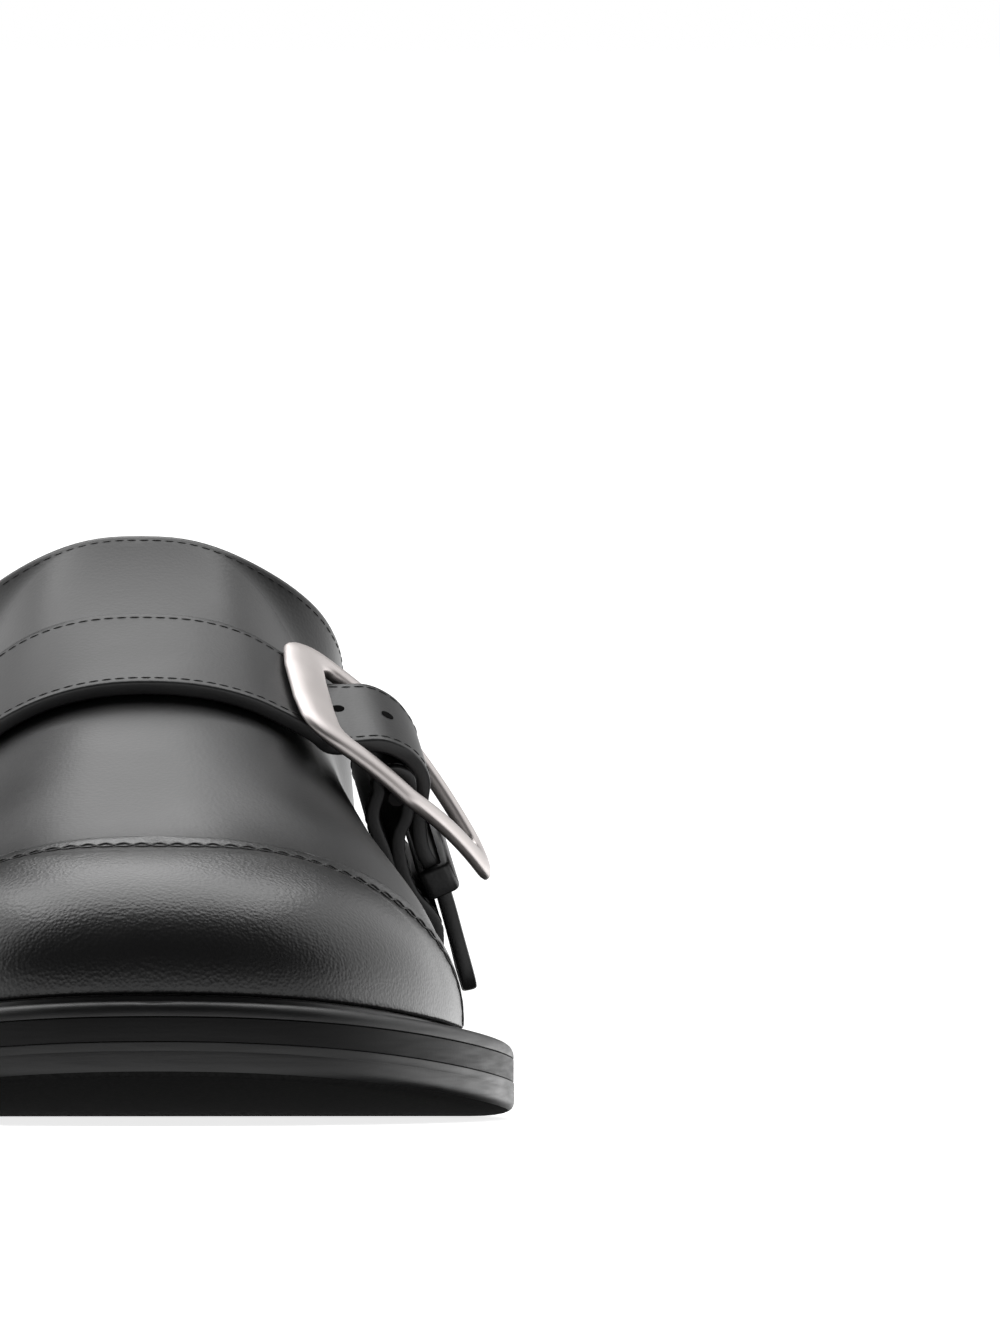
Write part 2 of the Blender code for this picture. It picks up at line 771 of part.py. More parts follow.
def build_keeper():
    """A flat loop round the strap's end."""
    line = np.stack([TAB_LINE["across"], TAB_LINE["up"]], axis=1)
    way = line[KEEPER_ROW + 1] - line[KEEPER_ROW - 1]
    way /= np.linalg.norm(way)
    out = np.array((-way[1], way[0]))
    loops = []
    for wall, radius in zip((0.0, KEEPER_THICK), KEEPER_ROUND):
        half_w = TAB_HALF + KEEPER_PLAY + wall
        half_t = STRAP_THICK / 2 + GAP + wall
        signs = ((-1, -1), (1, -1), (1, 1), (-1, 1))
        loops.append(rounded([(a * half_w, b * half_t, radius) for a, b in signs]))
    points = []
    for loop, along in ((loops[0], -1), (loops[1], -1), (loops[1], 1), (loops[0], 1)):
        for width, rise in loop:
            across, up = line[KEEPER_ROW] + way * along * KEEPER_LONG / 2 + out * rise
            points.append(in_tab(across, up, width))
    faces = loop_faces(4, len(loops[0]), True)
    make("strap_keeper", points, faces, BLACK_LEATHER, 0.4)


for old in list(bpy.data.objects):
    bpy.data.objects.remove(old, do_unlink=True)
build_sole()
build_upper()
build_strap()
build_buckle()
build_buckle_strap()
build_keeper()
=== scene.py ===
"""Looks of a monk strap loafer for the left foot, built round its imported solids.

Sizes are in millimetres. A point is worked out as (x from the shoe's axis, station from the back of the
heel, height) and turned into metres, in the solids' own frame, when its mesh is made.
"""

import math

import bpy
import numpy as np
from mathutils.bvhtree import BVHTree
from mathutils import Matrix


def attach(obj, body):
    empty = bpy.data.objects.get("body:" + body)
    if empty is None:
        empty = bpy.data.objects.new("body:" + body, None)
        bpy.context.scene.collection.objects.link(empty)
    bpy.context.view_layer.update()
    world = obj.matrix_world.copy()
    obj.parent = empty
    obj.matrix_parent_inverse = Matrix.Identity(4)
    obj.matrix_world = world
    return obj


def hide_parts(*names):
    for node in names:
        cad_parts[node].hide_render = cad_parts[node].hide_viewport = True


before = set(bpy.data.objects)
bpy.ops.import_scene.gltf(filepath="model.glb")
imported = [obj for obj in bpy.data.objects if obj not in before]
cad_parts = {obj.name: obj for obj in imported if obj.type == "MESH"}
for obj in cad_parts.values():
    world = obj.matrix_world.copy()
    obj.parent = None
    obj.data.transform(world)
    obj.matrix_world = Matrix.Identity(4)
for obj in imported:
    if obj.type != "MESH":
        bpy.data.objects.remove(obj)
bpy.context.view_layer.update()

MM = 0.001
GAP = 0.3


def table(names, *rows):
    """The rows' columns by name."""
    return dict(zip(names.split(), np.array(rows, float).T))


# Sole
SOLE_LENGTH = 300.0
HEEL_CENTRE = 42.0
TOE_CENTRE = 223.0
END_POWER = 2.2
HEEL_HEIGHT = 22.0
HEEL_BREAST = 64.0
FLAT_END = 212.0
TOE_SPRING = 6.8
OUTSOLE = 4.8
MIDSOLE = 3.0
WELT = 2.4
SOLE_STACK = OUTSOLE + GAP + MIDSOLE + GAP + WELT
WELT_ROUND = 2.0
TOE_TUCK = 0.8
LIP_RISE = 1.4
INSOLE_RISE = 1.6
INSOLE_INSET = 2.8
INSOLE_ROUND = (0.1, 0.5)
EDGE_INSET = 0.1
EDGE_ROUND = 0.15
MIDSOLE_FILL = 0.24
CHANNEL_DEEP = 0.25
HEEL_INSET = 1.0
HEEL_TAPER = 0.8
HEEL_ROUND = (1.2, 0.4)
HEEL_LINES = (0.3, 0.53, 0.76)
HEEL_LINE_SIZE = (0.2, 0.12)
TUCK_IN = 6.4
TUCK_RISE = 2.9
TUCK_STEPS = 9
TREAD_BANDS = 4
OUTSOLE_LINE_BELOW = 1.25
OUTSOLE_LINE_SIZE = (0.12, 0.05)

SOLE_PLAN = table(
    "station lateral medial",
    (42, 35.0, 35.0), (62, 35.0, 34.8), (90, 35.2, 33.8), (115, 36.2, 34.2), (140, 40.4, 38.0),
    (165, 46.6, 44.0), (190, 51.6, 49.4), (210, 53.6, 52.2), (223, 54.0, 53.0),
)

SOLE_PROFILE = table(
    "station bottom",
    (0, HEEL_HEIGHT), (66, HEEL_HEIGHT), (82, 19.4), (100, 13.6), (120, 7.2), (140, 2.6), (158, 0.4),
    (172, 0), (FLAT_END, 0),
)

FEATHER = table("station inset", (0, 4.5), (90, 5.0), (160, 6.8), (223, 9.2), (300, 7.0))

# Upper
WALL = 2.0
THROAT = 162.0
COLLAR_ARCH = 130.0
SEAM_SIDE = 241.0
SEAM_RIDGE = 257.0
LEAN_START = 196.0
FOOT_RISE = 1.9
FLARE_POWER = 4
TOE_ROUND = 3.0
TOE_FALL = 0.5
TOE_RISE_ROUND = 2.6
TOE_SWEEP_RATE = 3
TOE_ROUND_RATE = 1.6
CAP_THICK = 1.5
CAP_RIM = 0.5

SECTIONS = table(
    "station ridge ridge_x lateral_bulge medial_bulge power",
    (0, 121, 0.0, 2.0, 2.0, 3.0),
    (42, 121, 0.0, 2.0, 2.0, 3.0),
    (90, 122, -0.8, 0.4, 1.4, 4.2),
    (130, 124, -1.8, -1.6, 0.4, 6.4),
    (142, 119, -2.3, -2.5, 1.2, 6.4),
    (162, 91.7, -2.5, -5.6, 2.0, 2.5),
    (182, 76.4, -2.0, -7.0, 0.4, 2.5),
    (204, 64.0, -1.2, -3.6, -0.8, 2.2),
    (227, 52.4, -0.6, 1.4, 0.6, 2.1),
    (242, 44.9, -0.2, 1.4, 0.8, 2.1),
    (249, 42.1, 0.0, 1.2, 0.8, 2.15),
    (257, 39.7, 0.0, 0.6, 0.6, 2.2),
)

COLLAR = table(
    "station height",
    (4, 93), (25, 89), (55, 79.5), (85, 72.6), (110, 69), (130, 67.4), (141.3, 69.8), (145.8, 73.8),
    (149.6, 76.2), (154.2, 80.6), (158.2, 85.4), (160.8, 89.4), (162, 91.7),
)

# Strap
STRAP_SLOPE = math.radians(28)
STRAP_STATION = 193.0
STRAP_HEIGHT = 69.4
STRAP_THICK = 2.4
STRAP_OFF = 0.5
STRAP_HALF = 12.2
STRAP_TRIM = 0.6
TAB_HALF = 8.8
TAB_FORWARD = 3.4
TAB_NECK = (1.36, 1.25, 1.2, 1.17, 1.12, 1.05)
TAB_POINT = (0.86, 0.5)
STRAP_FOOT = math.radians(5)
STRAP_LEAVES = math.radians(67)

# Across and up, along the part of the strap that leaves the upper
TAB_LINE = np.array((
    (23.0, -5.3), (26.0, -8.2), (30.0, -8.6), (34.0, -8.7), (37.3, -10.3), (39.5, -12.6),
    (40.9, -15.7), (40.7, -19.4), (40.5, -23.6), (41.2, -28.2), (43.6, -32.8), (45.0, -36.8),
    (46.8, -43.6), (48.4, -49.6), (49.2, -52.8), (49.6, -54.9),
))

# Buckle
BUCKLE_BAR = np.array((25.0, -3.7))
BUCKLE_TIP = np.array((53.8, -38.4))
BUCKLE_BOW = 2.7
BUCKLE_THICK = 2.3
CENTRE_ALONG = 16.5
CENTRE_RISE = 0.8
CENTRE_RADIUS = 1.4
CENTRE_HALF = 14.0
CENTRE_SIDES = 20
FRAME_OUTER = ((-4.6, 6.0, 10.0), (-3.4, 17.2, 6.0), (17.0, 17.0, 6.0), (53.2, 0.0, 7.4))
FRAME_INNER = ((2.4, 5.0, 10.0), (2.8, 12.4, 3.0), (18.0, 12.4, 5.0), (39.6, 0.0, 2.0))
FRAME_STEPS = (12, 10)

# Corners of the frame's section: share of the way from the inner edge to the outer one, and rise
RAIL = np.array((
    (0.0, -0.9), (0.0, 0.5), (0.22, 0.9), (0.5, 1.0), (0.8, 0.8), (1.0, 0.2), (1.0, -0.6),
    (0.85, -1.0), (0.15, -1.0),
))
RAIL_ROUND = 0.22

# Buckle strap and keeper
BUCKLE_STRAP_THICK = 1.6
BUCKLE_STRAP_PAD = 0.5
BUCKLE_STRAP_OFF = 0.5
BUCKLE_STRAP_HALF = 10.2
BUCKLE_STRAP_TRIM = 0.4
BUCKLE_STRAP_STATION = 172.0
BUCKLE_STRAP_FOOT = math.radians(4)
BUCKLE_STRAP_LEAVES = 37.0
RISING_LINE = ((0.3, -17.5), (-1.1, -12.0), (-3.2, -5.5))
FOLDED_LINE = ((2.2, -5.0), (0.9, -9.0), (1.4, -14.0), (3.3, -19.0), (7.0, -24.5), (7.4, -31.0))
FOLD_TURNS = np.radians((200, 160, 120, 80, 40, 0))
KEEPER_THICK = 1.2
KEEPER_LONG = 5.0
KEEPER_PLAY = 0.4
KEEPER_ROW = 10
KEEPER_ROUND = (0.4, 1.2)
KEEPER_STEPS = (7, 6)

# Corners of the keeper's section: share of its thickness, and of half its length
KEEPER_SECTION = (
    (0.0, -1.0), (0.5, -1.0), (0.85, -0.96), (1.0, -0.82),
    (1.0, 0.82), (0.85, 0.96), (0.5, 1.0), (0.0, 1.0),
)

# Holes of the strap: across, and share of the width from its back edge
HOLES = ((28.4, 0.44), (36.4, 0.5))
HOLE_FLOOR = 50.0
HOLE_LONG = 2.1
HOLE_WIDE = 2.4
HOLE_SIDES = 16
HOLE_LIFT = 0.04

# Stitches, and the dip in the toe cap along its seam
STITCH_PITCH = 2.0
STITCH_SHARE = 0.84
STITCH_SUNK = 0.02
THREAD = 0.26
THREAD_SIDES = 6
COLLAR_ROW = 0.6
COLLAR_SUNK = 0.04
STRAP_ROW = 0.9
BARE_END_ROWS = 7
CAP_SUNK = -0.2
CAP_DIP = 0.9
CAP_DIP_END = 5.0
CAP_DIP_FADE = 9.0
ROPE_ROW = 4.0
ROPE_FOOT_ROW = 1.9
ROPE_SWAY = 1.0
ROPE_FOOT_SWAY = 0.4
ROPE_PITCH = 4.9
ROPE_STEPS = 16
ROPE_THICK = 0.40
ROPE_DROP = 8
WELT_PITCH = 2.8
WELT_SHARE = 0.8
WELT_THREAD = 0.7
WELT_ROW = 2.4
WELT_SUNK = 0.12

# A stitch ring by ring: share of its length, and size and rise as shares of the thread's thickness
STITCH_SHAPE = (
    (-0.52, 0.25, -0.35),
    (-0.42, 0.80, -0.05),
    (-0.2, 1.0, 0.16),
    (0.2, 1.0, 0.16),
    (0.42, 0.80, -0.05),
    (0.52, 0.25, -0.35),
)

# Curves through the tables


def smooth(columns, name, at):
    """A column between its rows, along a cubic that does not overshoot."""
    knots = columns["station"]
    values = columns[name]
    at = min(max(at, knots[0]), knots[-1])
    steps = np.diff(knots)
    slopes = np.diff(values) / steps
    tangents = np.zeros(len(knots))
    tangents[0] = slopes[0]
    tangents[-1] = slopes[-1]
    for i in range(1, len(steps)):
        if slopes[i - 1] * slopes[i] > 0:
            tangents[i] = 2 * slopes[i - 1] * slopes[i] / (slopes[i - 1] + slopes[i])
    i = min(int(np.searchsorted(knots, at, side="right")) - 1, len(steps) - 1)
    t = (at - knots[i]) / steps[i]
    near = values[i] * (1 + 2 * t) * (1 - t) ** 2 + tangents[i] * steps[i] * t * (1 - t) ** 2
    far = values[i + 1] * t * t * (3 - 2 * t) + tangents[i + 1] * steps[i] * t * t * (t - 1)
    return near + far


def spline(rows, steps):
    """Points along a smooth line through the rows, with this many steps between two rows."""
    rows = np.array(rows, float)
    ends = np.concatenate([[2 * rows[0] - rows[1]], rows, [2 * rows[-1] - rows[-2]]])
    out = []
    for before, start, end, after in zip(ends, ends[1:], ends[2:], ends[3:]):
        for k in range(steps):
            t = k / steps
            bend = 2 * before - 5 * start + 4 * end - after
            twist = 3 * start - before - 3 * end + after
            out.append(start + 0.5 * (t * (end - before) + t * t * bend + t**3 * twist))
    out.append(rows[-1])
    return np.array(out)


def ease(t):
    t = min(max(t, 0.0), 1.0)
    return t * t * (3 - 2 * t)


def sole_bottom(station):
    if station > FLAT_END:
        return TOE_SPRING * ((station - FLAT_END) / (SOLE_LENGTH - FLAT_END)) ** 2
    return smooth(SOLE_PROFILE, "bottom", station)


def feather_inset(station):
    return smooth(FEATHER, "inset", station)


def half_width(side, station, inset):
    """Distance of the outline from the axis. inset gives how far it stands in from the sole's edge."""
    middle = min(max(station, HEEL_CENTRE), TOE_CENTRE)
    half = smooth(SOLE_PLAN, side, middle) - inset(middle)
    if station < HEEL_CENTRE:
        along = (HEEL_CENTRE - station) / (HEEL_CENTRE - inset(0))
    else:
        along = (station - middle) / (SOLE_LENGTH - inset(SOLE_LENGTH) - TOE_CENTRE)
    return half * max(0.0, 1 - along**END_POWER) ** (1 / END_POWER)


def heel_station(turn, inset):
    """Station at an angle round the heel: 0 is its back and a right angle its widest part."""
    return HEEL_CENTRE - (HEEL_CENTRE - inset(0)) * math.cos(turn) ** (2 / END_POWER)


def toe_station(turn, inset):
    """Station at an angle round the toe: 0 is its widest part and a right angle its tip."""
    reach = SOLE_LENGTH - inset(SOLE_LENGTH) - TOE_CENTRE
    return TOE_CENTRE + reach * math.sin(turn) ** (2 / END_POWER)


class Ray:
    """A line over the upper's surface, from its lower edge up to the ridge that its side aims at."""

    def __init__(self, side, station):
        sign = 1 if side == "lateral" else -1
        foot = np.array((sign * half_width(side, station, feather_inset), station))
        if station < HEEL_CENTRE:
            target = HEEL_CENTRE
        elif station > SEAM_SIDE:
            target = SEAM_RIDGE
        else:
            lean = ease((station - LEAN_START) / (SEAM_SIDE - LEAN_START))
            target = station + (SEAM_RIDGE - SEAM_SIDE) * lean
        top = np.array((smooth(SECTIONS, "ridge_x", target), target))
        toe = max(0.0, (station - SEAM_SIDE) / (SOLE_LENGTH - SEAM_SIDE))
        self.sweep = 2 - ease(TOE_SWEEP_RATE * toe)
        self.station = station
        self.top = top
        self.reach = float(np.linalg.norm(foot - top))
        self.away = (foot - top) / self.reach
        self.foot_height = sole_bottom(station) + SOLE_STACK + GAP
        self.top_height = float(smooth(SECTIONS, "ridge", target))
        slope = smooth(SECTIONS, "ridge", target - 1) - smooth(SECTIONS, "ridge", target)
        fall = float(slope * self.away[1]) * (1 - (1 - TOE_FALL) * ease(TOE_SWEEP_RATE * toe))
        self.fall = 0.0 if station <= THROAT else fall
        self.bulge = smooth(SECTIONS, side + "_bulge", station)
        power = smooth(SECTIONS, "power", station)
        self.power = power + (TOE_ROUND - power) * ease(TOE_ROUND_RATE * toe)
        self.rise_power = 2 + (TOE_RISE_ROUND - 2) * ease(TOE_ROUND_RATE * toe)

    def point(self, turn):
        """Point at an angle from 0 at the lower edge to a right angle at the ridge."""
        up = max(0.0, math.sin(turn)) ** (2 / self.rise_power)
        in_by = max(0.0, math.cos(turn)) ** (2 / self.power)
        out = (self.reach + self.bulge) * in_by - self.bulge * (1 - up) ** FLARE_POWER
        swept = self.reach * max(out / self.reach, 0.0) ** self.sweep
        height = self.foot_height + (self.top_height - self.foot_height - self.fall * swept) * up
        x = self.top[0] + self.away[0] * out
        station = self.top[1] + self.away[1] * swept
        return np.array((x, station, height))

    def turn_at(self, height):
        """Angle at a height, found by halving."""
        low = 0.0
        high = math.pi / 2
        for _ in range(40):
            middle = (low + high) / 2
            if self.point(middle)[2] < height:
                low = middle
            else:
                high = middle
        return low

    def end(self):
        if self.station >= THROAT - 1e-6:
            return math.pi / 2
        return self.turn_at(smooth(COLLAR, "height", self.station))


# Meshes

AXIS_X = (SOLE_PLAN["medial"].max() - SOLE_PLAN["lateral"].max()) / 2


def merged(points, faces):
    """Points that coincide made one, without the faces that this closes up."""
    points = np.array(points, float)
    _, first, index = np.unique(np.round(points, 4), axis=0, return_index=True, return_inverse=True)
    index = index.reshape(-1)
    kept = []
    for face in faces:
        corners = tuple(dict.fromkeys(int(index[i]) for i in face))
        if len(corners) > 2:
            kept.append(corners)
    return points[first], kept, index


def grid_faces(rows, columns):
    faces = []
    for r in range(rows - 1):
        for c in range(columns - 1):
            i = r * columns + c
            faces.append((i, i + 1, i + columns + 1, i + columns))
    return faces


def loop_faces(loops, size, closed):
    faces = []
    pairs = list(zip(range(loops), range(1, loops)))
    if closed:
        pairs.append((loops - 1, 0))
    for low, high in pairs:
        for i in range(size):
            k = (i + 1) % size
            faces.append((low * size + i, low * size + k, high * size + k, high * size + i))
    return faces


def unit(vectors):
    return vectors / np.maximum(np.linalg.norm(vectors, axis=-1, keepdims=True), 1e-9)


def run_along(line):
    """Distance of each point of a line from its start, along the line."""
    return np.concatenate([[0], np.cumsum(np.linalg.norm(np.diff(line, axis=0), axis=1))])


def at_marks(rows, run, marks):
    """Points or normals of a line at these distances along it."""
    return np.stack([np.interp(marks, run, rows[:, k]) for k in range(3)], axis=-1)


def surface_normals(points, faces):
    corners = np.array([(face[0], face[1], face[2], face[-1]) for face in faces])
    across = points[corners[:, 2]] - points[corners[:, 0]]
    along = points[corners[:, 3]] - points[corners[:, 1]]
    area = np.cross(across, along)
    normals = np.zeros_like(points)
    for k in range(4):
        np.add.at(normals, corners[:, k], area)
    return unit(normals)


def rim_ways(points, faces, normals):
    """For each point on a surface's rim, the next one and the way out of the surface."""
    edges = set()
    for face in faces:
        edges.update(zip(face, face[1:] + face[:1]))
    after = {a: b for a, b in edges if (b, a) not in edges}
    before = {b: a for a, b in after.items()}
    ways = {}
    for i in after:
        along = points[after[i]] - points[before[i]]
        ways[i] = unit(np.cross(along, normals[i]))
    return after, ways


def shell(points, faces, normals, low, high, rim, steps=6, square=0.7):
    """A wall between two offsets of a surface with a rounded rim. Kinds: 0 outside, 1 inside, 2 rim."""
    count = len(points)
    after, ways = rim_ways(points, faces, normals)
    verts = [points + normals * high, points + normals * low]
    out = [tuple(face) for face in faces]
    kinds = [0] * len(faces)
    out += [tuple(i + count for i in reversed(face)) for face in faces]
    kinds += [1] * len(faces)
    edge = sorted(after)
    place = {i: n for n, i in enumerate(edge)}
    middle = points[edge] + normals[edge] * (low + high) / 2
    ways = np.array([ways[i] for i in edge])
    for k in range(1, steps):
        turn = math.pi * k / steps
        lift = math.copysign(abs(math.cos(turn)) ** square, math.cos(turn))
        push = math.sin(turn) ** square
        verts.append(middle + normals[edge] * lift * (high - low) / 2 + ways * rim * push)

    def at(i, k):
        if k == 0:
            return i
        if k == steps:
            return i + count
        return 2 * count + (k - 1) * len(edge) + place[i]

    for a, b in after.items():
        for k in range(steps):
            out.append((at(b, k), at(a, k), at(a, k + 1), at(b, k + 1)))
            kinds.append(2)
    return np.vstack(verts), out, kinds


def make(name, points, faces, surfaces, kinds=None, replaces=(), sharp=40):
    """A smooth-shaded piece of the shoe in the solids' frame, riding on its one body."""
    points = np.array(points, float)
    world = np.stack([points[:, 0] + AXIS_X, SOLE_LENGTH / 2 - points[:, 1], points[:, 2]], axis=1) * MM
    mesh = bpy.data.meshes.new(name)
    # The station axis runs against Y, so each face is turned round to keep its outside out.
    mesh.from_pydata(world.tolist(), [], [tuple(reversed(face)) for face in faces])
    for surface in surfaces:
        mesh.materials.append(surface)
    if kinds is not None:
        mesh.polygons.foreach_set("material_index", np.array(kinds, np.int32))
    mesh.shade_smooth()
    mesh.set_sharp_from_angle(angle=math.radians(sharp))
    mesh.update()
    made = bpy.data.objects.new(name, mesh)
    bpy.context.scene.collection.objects.link(made)
    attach(made, "root")
    if replaces:
        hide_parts(*replaces)


# Materials


RAMP_START = 0.3
RAMP_END = 0.7


class Graph:
    """The shader nodes of a material or of the world."""

    def __init__(self, owner):
        owner.use_nodes = True
        self.owner = owner
        self.nodes = owner.node_tree.nodes
        self.links = owner.node_tree.links

    def fill(self, node, inputs):
        """Links outputs of other nodes to a node's inputs, and sets plain values on them."""
        for name, value in inputs.items():
            if isinstance(value, bpy.types.NodeSocket):
                self.links.new(value, node.inputs[name])
            else:
                node.inputs[name].default_value = value

    def add(self, kind, inputs):
        node = self.nodes.new(kind)
        self.fill(node, inputs)
        return node

    def place(self, kind="Object"):
        return self.nodes.new("ShaderNodeTexCoord").outputs[kind]

    def noise(self, place, scale, detail, roughness=0.5):
        inputs = {"Vector": place, "Scale": scale, "Detail": detail, "Roughness": roughness}
        return self.add("ShaderNodeTexNoise", inputs).outputs["Fac"]

    def ranged(self, value, low, high, start=RAMP_START, end=RAMP_END):
        inputs = {"Value": value, "From Min": start, "From Max": end, "To Min": low, "To Max": high}
        return self.add("ShaderNodeMapRange", inputs).outputs["Result"]

    def bumped(self, height, strength, distance, before=None):
        inputs = {"Height": height, "Strength": strength, "Distance": distance}
        if before is not None:
            inputs["Normal"] = before
        return self.add("ShaderNodeBump", inputs).outputs["Normal"]

    def coloured(self, value, dark, light):
        node = self.add("ShaderNodeValToRGB", {"Fac": value})
        ends = node.color_ramp.elements
        ends[0].position = RAMP_START
        ends[0].color = (*dark, 1)
        ends[1].position = RAMP_END
        ends[1].color = (*light, 1)
        return node.outputs["Color"]

    def combined(self, operation, *values):
        """Each value in turn taken into the last result by one operation."""
        result = values[0]
        for value in values[1:]:
            node = self.add("ShaderNodeMath", {0: result, 1: value})
            node.operation = operation
            result = node.outputs["Value"]
        return result

    def shaded(self, inputs):
        """The material, with these inputs of its surface."""
        self.fill(self.nodes["Principled BSDF"], inputs)
        return self.owner


def leather(name, dark, light, rough, grain, grain_depth, coat=0.0):
    """Finished leather: pebbled grain with fine pores, and slow changes of tone and gloss."""
    graph = Graph(bpy.data.materials.new(name))
    place = graph.place()
    slow = graph.noise(place, 45, 3)
    fine = graph.noise(place, 2200, 4, 0.6)
    cells = graph.nodes.new("ShaderNodeTexVoronoi")
    cells.feature = "SMOOTH_F1"
    graph.fill(cells, {"Vector": place, "Scale": grain, "Smoothness": 0.6})
    pebbles = graph.bumped(cells.outputs["Distance"], 0.5, grain_depth)
    return graph.shaded({
        "Base Color": graph.coloured(slow, dark, light),
        "Roughness": graph.ranged(slow, rough - 0.03, rough + 0.04),
        "Normal": graph.bumped(fine, 0.35, grain_depth * 0.6, pebbles),
        "Coat Weight": coat,
        "Coat Roughness": 0.3,
    })


def edge_finish(name, dark, light, rough, shine=0.5):
    """Burnished sole edge: fine streaks that run round the shoe, level with the floor."""
    graph = Graph(bpy.data.materials.new(name))
    place = graph.place()
    stretched = graph.add("ShaderNodeMapping", {"Vector": place, "Scale": (0.08, 0.08, 1.0)})
    streaks = graph.noise(stretched.outputs["Vector"], 1500, 4)
    slow = graph.noise(place, 60, 3)
    specks = graph.noise(place, 1800, 3)
    streaked = graph.bumped(streaks, 0.25, 0.0001)
    return graph.shaded({
        "Base Color": graph.coloured(slow, dark, light),
        "Roughness": graph.ranged(streaks, rough - 0.05, rough + 0.07),
        "Normal": graph.bumped(specks, 0.2, 0.00006, streaked),
        "Specular IOR Level": shine,
    })


def matt(name, dark, light):
    """A dull surface with fine specks and no gloss, for the tread and for the painted shade of the strap's
    holes.
    """
    graph = Graph(bpy.data.materials.new(name))
    specks = graph.noise(graph.place(), 1500, 3)
    return graph.shaded({
        "Base Color": graph.coloured(specks, dark, light),
        "Normal": graph.bumped(specks, 0.3, 0.0001),
        "Roughness": 1.0,
        "Specular IOR Level": 0.05,
    })


def satin_metal(name, dark, light, rough):
    """Satin plated metal with very fine grain."""
    graph = Graph(bpy.data.materials.new(name))
    place = graph.place()
    slow = graph.noise(place, 120, 3)
    fine = graph.noise(place, 3500, 3)
    return graph.shaded({
        "Base Color": graph.coloured(slow, dark, light),
        "Roughness": graph.ranged(slow, rough - 0.03, rough + 0.05),
        "Normal": graph.bumped(fine, 0.12, 0.00004),
        "Metallic": 1.0,
    })


def twisted_thread(name, colour):
    """Waxed thread with a fine twist."""
    graph = Graph(bpy.data.materials.new(name))
    twist = graph.noise(graph.place(), 4000, 2)
    lighter = tuple(1.8 * c for c in colour)
    return graph.shaded({
        "Base Color": graph.coloured(twist, colour, lighter),
        "Normal": graph.bumped(twist, 0.4, 0.00006),
        "Roughness": 0.55,
    })


def plain_floor(name, colour):
    graph = Graph(bpy.data.materials.new(name))
    slow = graph.noise(graph.place(), 3, 2)
    darker = tuple(0.985 * c for c in colour)
    return graph.shaded({
        "Base Color": graph.coloured(slow, darker, colour),
        "Roughness": 0.9,
        "Emission Color": (1, 1, 1, 1),
        "Emission Strength": 0.8,
    })


BLACK = (0.010, 0.010, 0.0105)
SOFT_BLACK = (0.015, 0.015, 0.0155)
UPPER_LEATHER = leather("upper_leather", BLACK, SOFT_BLACK, 0.34, 1700, 0.00003)
CAP_LEATHER = leather("cap_leather", BLACK, SOFT_BLACK, 0.31, 1900, 0.0001, 0.15)
STRAP_LEATHER = leather("strap_leather", BLACK, SOFT_BLACK, 0.40, 1700, 0.00003)
CUT_EDGE = leather("cut_edge", (0.012, 0.012, 0.0125), (0.022, 0.022, 0.0225), 0.40, 1800, 0.00003)
LINING = leather("lining", (0.012, 0.0115, 0.011), (0.02, 0.0195, 0.019), 0.62, 900, 0.0001)
SOLE_EDGE = edge_finish("sole_edge", (0.008, 0.008, 0.0085), (0.013, 0.013, 0.0135), 0.40)
MIDSOLE_EDGE = edge_finish("midsole_edge", (0.004, 0.004, 0.0042), (0.008, 0.008, 0.0082), 0.45, 0.2)
TREAD = matt("tread", (0.009, 0.009, 0.009), (0.015, 0.015, 0.015))
NICKEL = satin_metal("nickel", (0.58, 0.540, 0.527), (0.63, 0.589, 0.575), 0.44)
# The centre bar's steel: partly its own dark metal, partly painted shade for the strap's fold round the
# bar.
BAR_STEEL_AND_SHADE = satin_metal("bar_steel_painted_shade", (0.020, 0.019, 0.019), (0.030, 0.029, 0.029), 0.55)
THREAD_BLACK = twisted_thread("thread_black", (0.006, 0.006, 0.006))
# Painted shade: near-black discs stand for the shade inside the strap's holes.
HOLE_SHADE = matt("hole_painted_shade", (0.002, 0.002, 0.002), (0.004, 0.004, 0.004))

# Stitches


def capsule(length, thick):
    """A short thread that arches out of the surface: points as (along, aside, up) and faces."""
    points = []
    for along, size, up in STITCH_SHAPE:
        for k in range(THREAD_SIDES):
            turn = 2 * math.pi * k / THREAD_SIDES
            aside = 0.5 * thick * size * math.cos(turn)
            points.append((along * length, aside, thick * (up + 0.45 * size * math.sin(turn))))
    count = len(points)
    faces = loop_faces(len(STITCH_SHAPE), THREAD_SIDES, False)
    faces.append(tuple(range(THREAD_SIDES)))
    faces.append(tuple(reversed(range(count - THREAD_SIDES, count))))
    return np.array(points), faces


def stitches(name, lines, pitch=STITCH_PITCH, thick=THREAD, share=STITCH_SHARE):
    """Threads end to end along lines of (points, normals)."""
    shape, shape_faces = capsule(pitch * share, thick)
    points = []
    faces = []
    for line, normals in lines:
        line = np.array(line)
        normals = np.array(normals)
        run = run_along(line)
        count = max(1, int(run[-1] / pitch))
        step = run[-1] / count
        for i in range(count):
            near, here, far = at_marks(line, run, np.array((i + 0.25, i + 0.5, i + 0.75)) * step)
            up = unit(at_marks(normals, run, (i + 0.5) * step))
            along = unit(far - near)
            aside = unit(np.cross(up, along))
            start = len(points) * len(shape)
            points.append(here + shape @ np.array((along, aside, up)))
            faces += [tuple(k + start for k in face) for face in shape_faces]
    make(name, np.vstack(points), faces, [THREAD_BLACK], sharp=80)


# Sole

SIDE_STEPS = 70
END_STEPS = 34
BREAST_STEPS = 12
CORNER_STEPS = 5
WELT_CORNER_STEPS = 9


